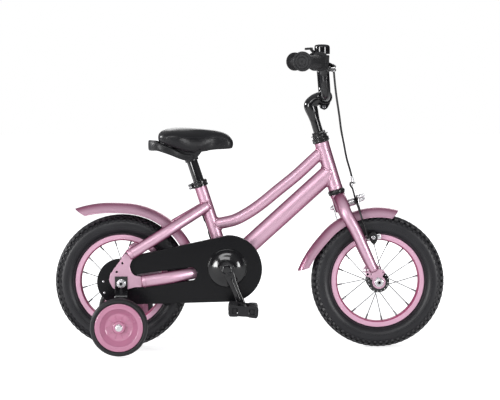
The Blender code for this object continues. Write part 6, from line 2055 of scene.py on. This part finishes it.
def makeCaliper(side, word):
    b = brake
    place = brakePlace(b["plane"][side])
    body = word.lower() + "_caliper"
    shape = bmesh.new()
    lower = [(side * y, z) for y, z in b["lower"]]
    outline = stripOutline(lower, b["lowerWide"])
    addPlate(shape, outline if side > 0 else outline[::-1], b["thick"], place, 0.001, 0, 0, 3)
    upper = b["upper"][side]
    addPlate(shape, stripOutline(upper, b["upperWide"][:len(upper)]), b["thick"], place, 0.001, 0, 0, 3)
    addTurned(shape, mm([(3.4, -2), (8.5, -2), (8.5, 2), (3.4, 2)]), place.translation, headAhead, 36, 0.0005)
    makePiece("caliperArm" + word, shape, "blackPaint", body, ["caliper_arm_" + word.lower()])
    # the shoe: a bright channel with the rubber in it, held by an eye on the arm
    out = outAt(math.radians(b["shoeAngle"]))
    middle = axleAt(1) + out * b["shoeReach"] + leftBy(side * b["shoeSide"])
    turn = Matrix((out.cross(leftBy(1)), (0, 1, 0), out)).transposed().to_4x4()
    shape = bmesh.new()
    addBlock(shape, b["channel"], shifted(middle + leftBy(side * 0.002)) @ turn, 0.0008)
    for way in (-1, 1):
        addBlock(shape, b["clip"], shifted(middle + leftBy(side * 0.0018)) @ turn
            @ shifted((way * b["clipAt"], 0, 0)), 0.001)
    makePiece("shoeChannel" + word, shape, "brightSteel", body, ["brake_pad_" + word.lower()])
    shape = bmesh.new()
    addBlock(shape, b["rubber"], shifted(middle - leftBy(side * 0.0018)) @ turn, 0.001)
    for k in (-1, 0, 1):
        addBlock(shape, b["groove"], shifted(middle - leftBy(side * 0.0034)) @ turn
            @ shifted((k * b["grooveStep"], 0, 0)), 0.0004, 1)
    makePiece("shoeRubber" + word, shape, "gripRubber", body)
    shape = bmesh.new()
    eye = middle + leftBy(side * b["eyeOut"])
    oval = [(b["eyeLong"] * math.cos(a), b["eyeHigh"] * math.sin(a) + 0.0008) for a in turns(28)]
    addPlate(shape, oval, 0.0052, standing(eye, (0, -1, 0), out.cross(leftBy(1))), 0.0012, 0, 0, 3)
    # a short arm from the caliper's foot back to the eye
    foot = onHead(b["drop"] - 0.086, b["plane"][side], side * 0.0374)
    top = eye + out * 0.011
    addPipe(shape, [(*foot, 0.003), (*foot.lerp(top, 0.5), 0.0034), (*top, 0.0036)], sides=16, perSpan=5,
        dome=0.002)
    makePiece("shoeEye" + word, shape, "blackPaint", body)
    shape = bmesh.new()
    addHexagon(shape, 0.0088, 0.0042, eye + leftBy(side * 0.0046), (0, side, 0), 0.3, 0.0006)
    addTurned(shape, mm([(0, 0), (2.6, 0), (2.6, 8.8), (2, 9.4), (0, 9.4)]), eye + leftBy(side * 0.001),
        (0, side, 0), 20, 0.0002)
    makePiece("shoeBolt" + word, shape, "brightSteel", body)


def makeBrakeHardware():
    b = brake
    shape = bmesh.new()
    spot, forward = onHead(b["drop"]), headAhead
    addTurned(shape, mm([(0, 59), (2.2, 59), (3, 58.2), (3, 16), (0, 16)]), spot, forward, 24, 0.0002)
    spacer = mm([(3, 34), (7.8, 34), (9, 33.2)])
    for k in range(4):
        low = 0.03 - 0.0034 * k
        spacer += mm([(9.4, 1.4), (8.3, 0.6), (8.3, 0), (9.4, -0.8)], low)
    spacer += mm([(9.6, 18.4), (9.2, 18), (3, 18)])
    addTurned(shape, spacer, spot, forward, 40, 0.0002)
    addHexagon(shape, 0.011, 0.005, spot + forward * 0.047, forward, 0.2, 0.0006)
    addTurned(shape, mm([(0, 57), (3, 56.6), (4.8, 54.8), (5.2, 50), (0, 50)]), spot, forward, 28)
    addTurned(shape, mm([(3, -16.8), (7.4, -16.8), (7.8, -17.2), (7.8, -18.2), (3, -18.4)]), spot, forward,
        32, 0.0002)
    addHexagon(shape, 0.0108, 0.005, spot - forward * 0.0209, forward, 0.5, 0.0008)
    addTurned(shape, mm([(0, -26.6), (2.4, -26.4), (3, -25.6), (3, -18), (0, -18)]), spot, forward, 24,
        0.0002)
    makePiece("brakePivotHardware", shape, "brightSteel", "fork_set", ["brake_pivot_bolt"])
    # the cable stop on the near arm: a small hooked plate, and the anchor bolt on the far one
    shape = bmesh.new()
    tip = b["stop"]
    place = standing(tip, (0.1, -0.2, 0.97))
    addPlate(shape, mm([(-6.2, -4.8), (5.2, -4.8), (6.6, 0), (5.2, 4.8), (-6.2, 4.8)]), 0.002, place, 0.0005)
    arm = [onHead(b["drop"] + 0.033, 0.0365, -0.0262), tip + Vector((-0.006, 0.0006, -0.006)),
        tip + Vector((-0.0058, 0, 0))]
    addPipe(shape, arm, 0.0021, 12, 5, dome=0.001)
    makePiece("cableStopPlate", shape, "blackPaint", "right_caliper")
    shape = bmesh.new()
    addTurned(shape, mm([(0, -8), (1.8, -7.8), (2.6, -6), (2.6, -1), (0, -1)]), tip, (0.06, -0.1, 0.98), 20,
        0.0002)
    anchor = onHead(b["drop"] + 0.01, 0.0411, -0.0268)
    addHexagon(shape, 0.0086, 0.0046, anchor + forward * 0.006, forward, 0.1, 0.0006)
    addTurned(shape, mm([(0, 17.6), (3.4, 17.2), (4.2, 16), (4.2, 8.6), (2.6, 8), (2.6, 0), (0, 0)]), anchor,
        forward, 24, 0.0002)
    addPipe(shape, [tip - Vector((0, 0, 0.006)), tip.lerp(anchor, 0.5) + Vector((0.0006, 0, 0)),
        anchor + forward * 0.003, anchor + forward * 0.0036 - Vector((0, 0, 0.02))], 0.0008, 8, 5,
        dome=0.0004)
    makePiece("cableAnchor", shape, "brightSteel", "left_caliper")


for side, word in hands:
    makeCaliper(side, word)
makeBrakeHardware()
print("front brake made")


# What the shells and the case leave in sight of the working parts

kept = {
    "bottom_bracket": "plainSteel", "chain": "darkSteel", "rear_axle": "plainSteel",
    "brake_arm": "brightSteel", "rear_sprocket": "plainSteel", "crank_axle": "plainSteel",
    "chainring": "plainSteel", "pedal_axle_right": "brightSteel", "pedal_axle_left": "brightSteel",
    "front_axle": "plainSteel",
}
for node, finish in kept.items():
    for slot in bpy.data.objects[node].material_slots:
        slot.material = finishes[finish]
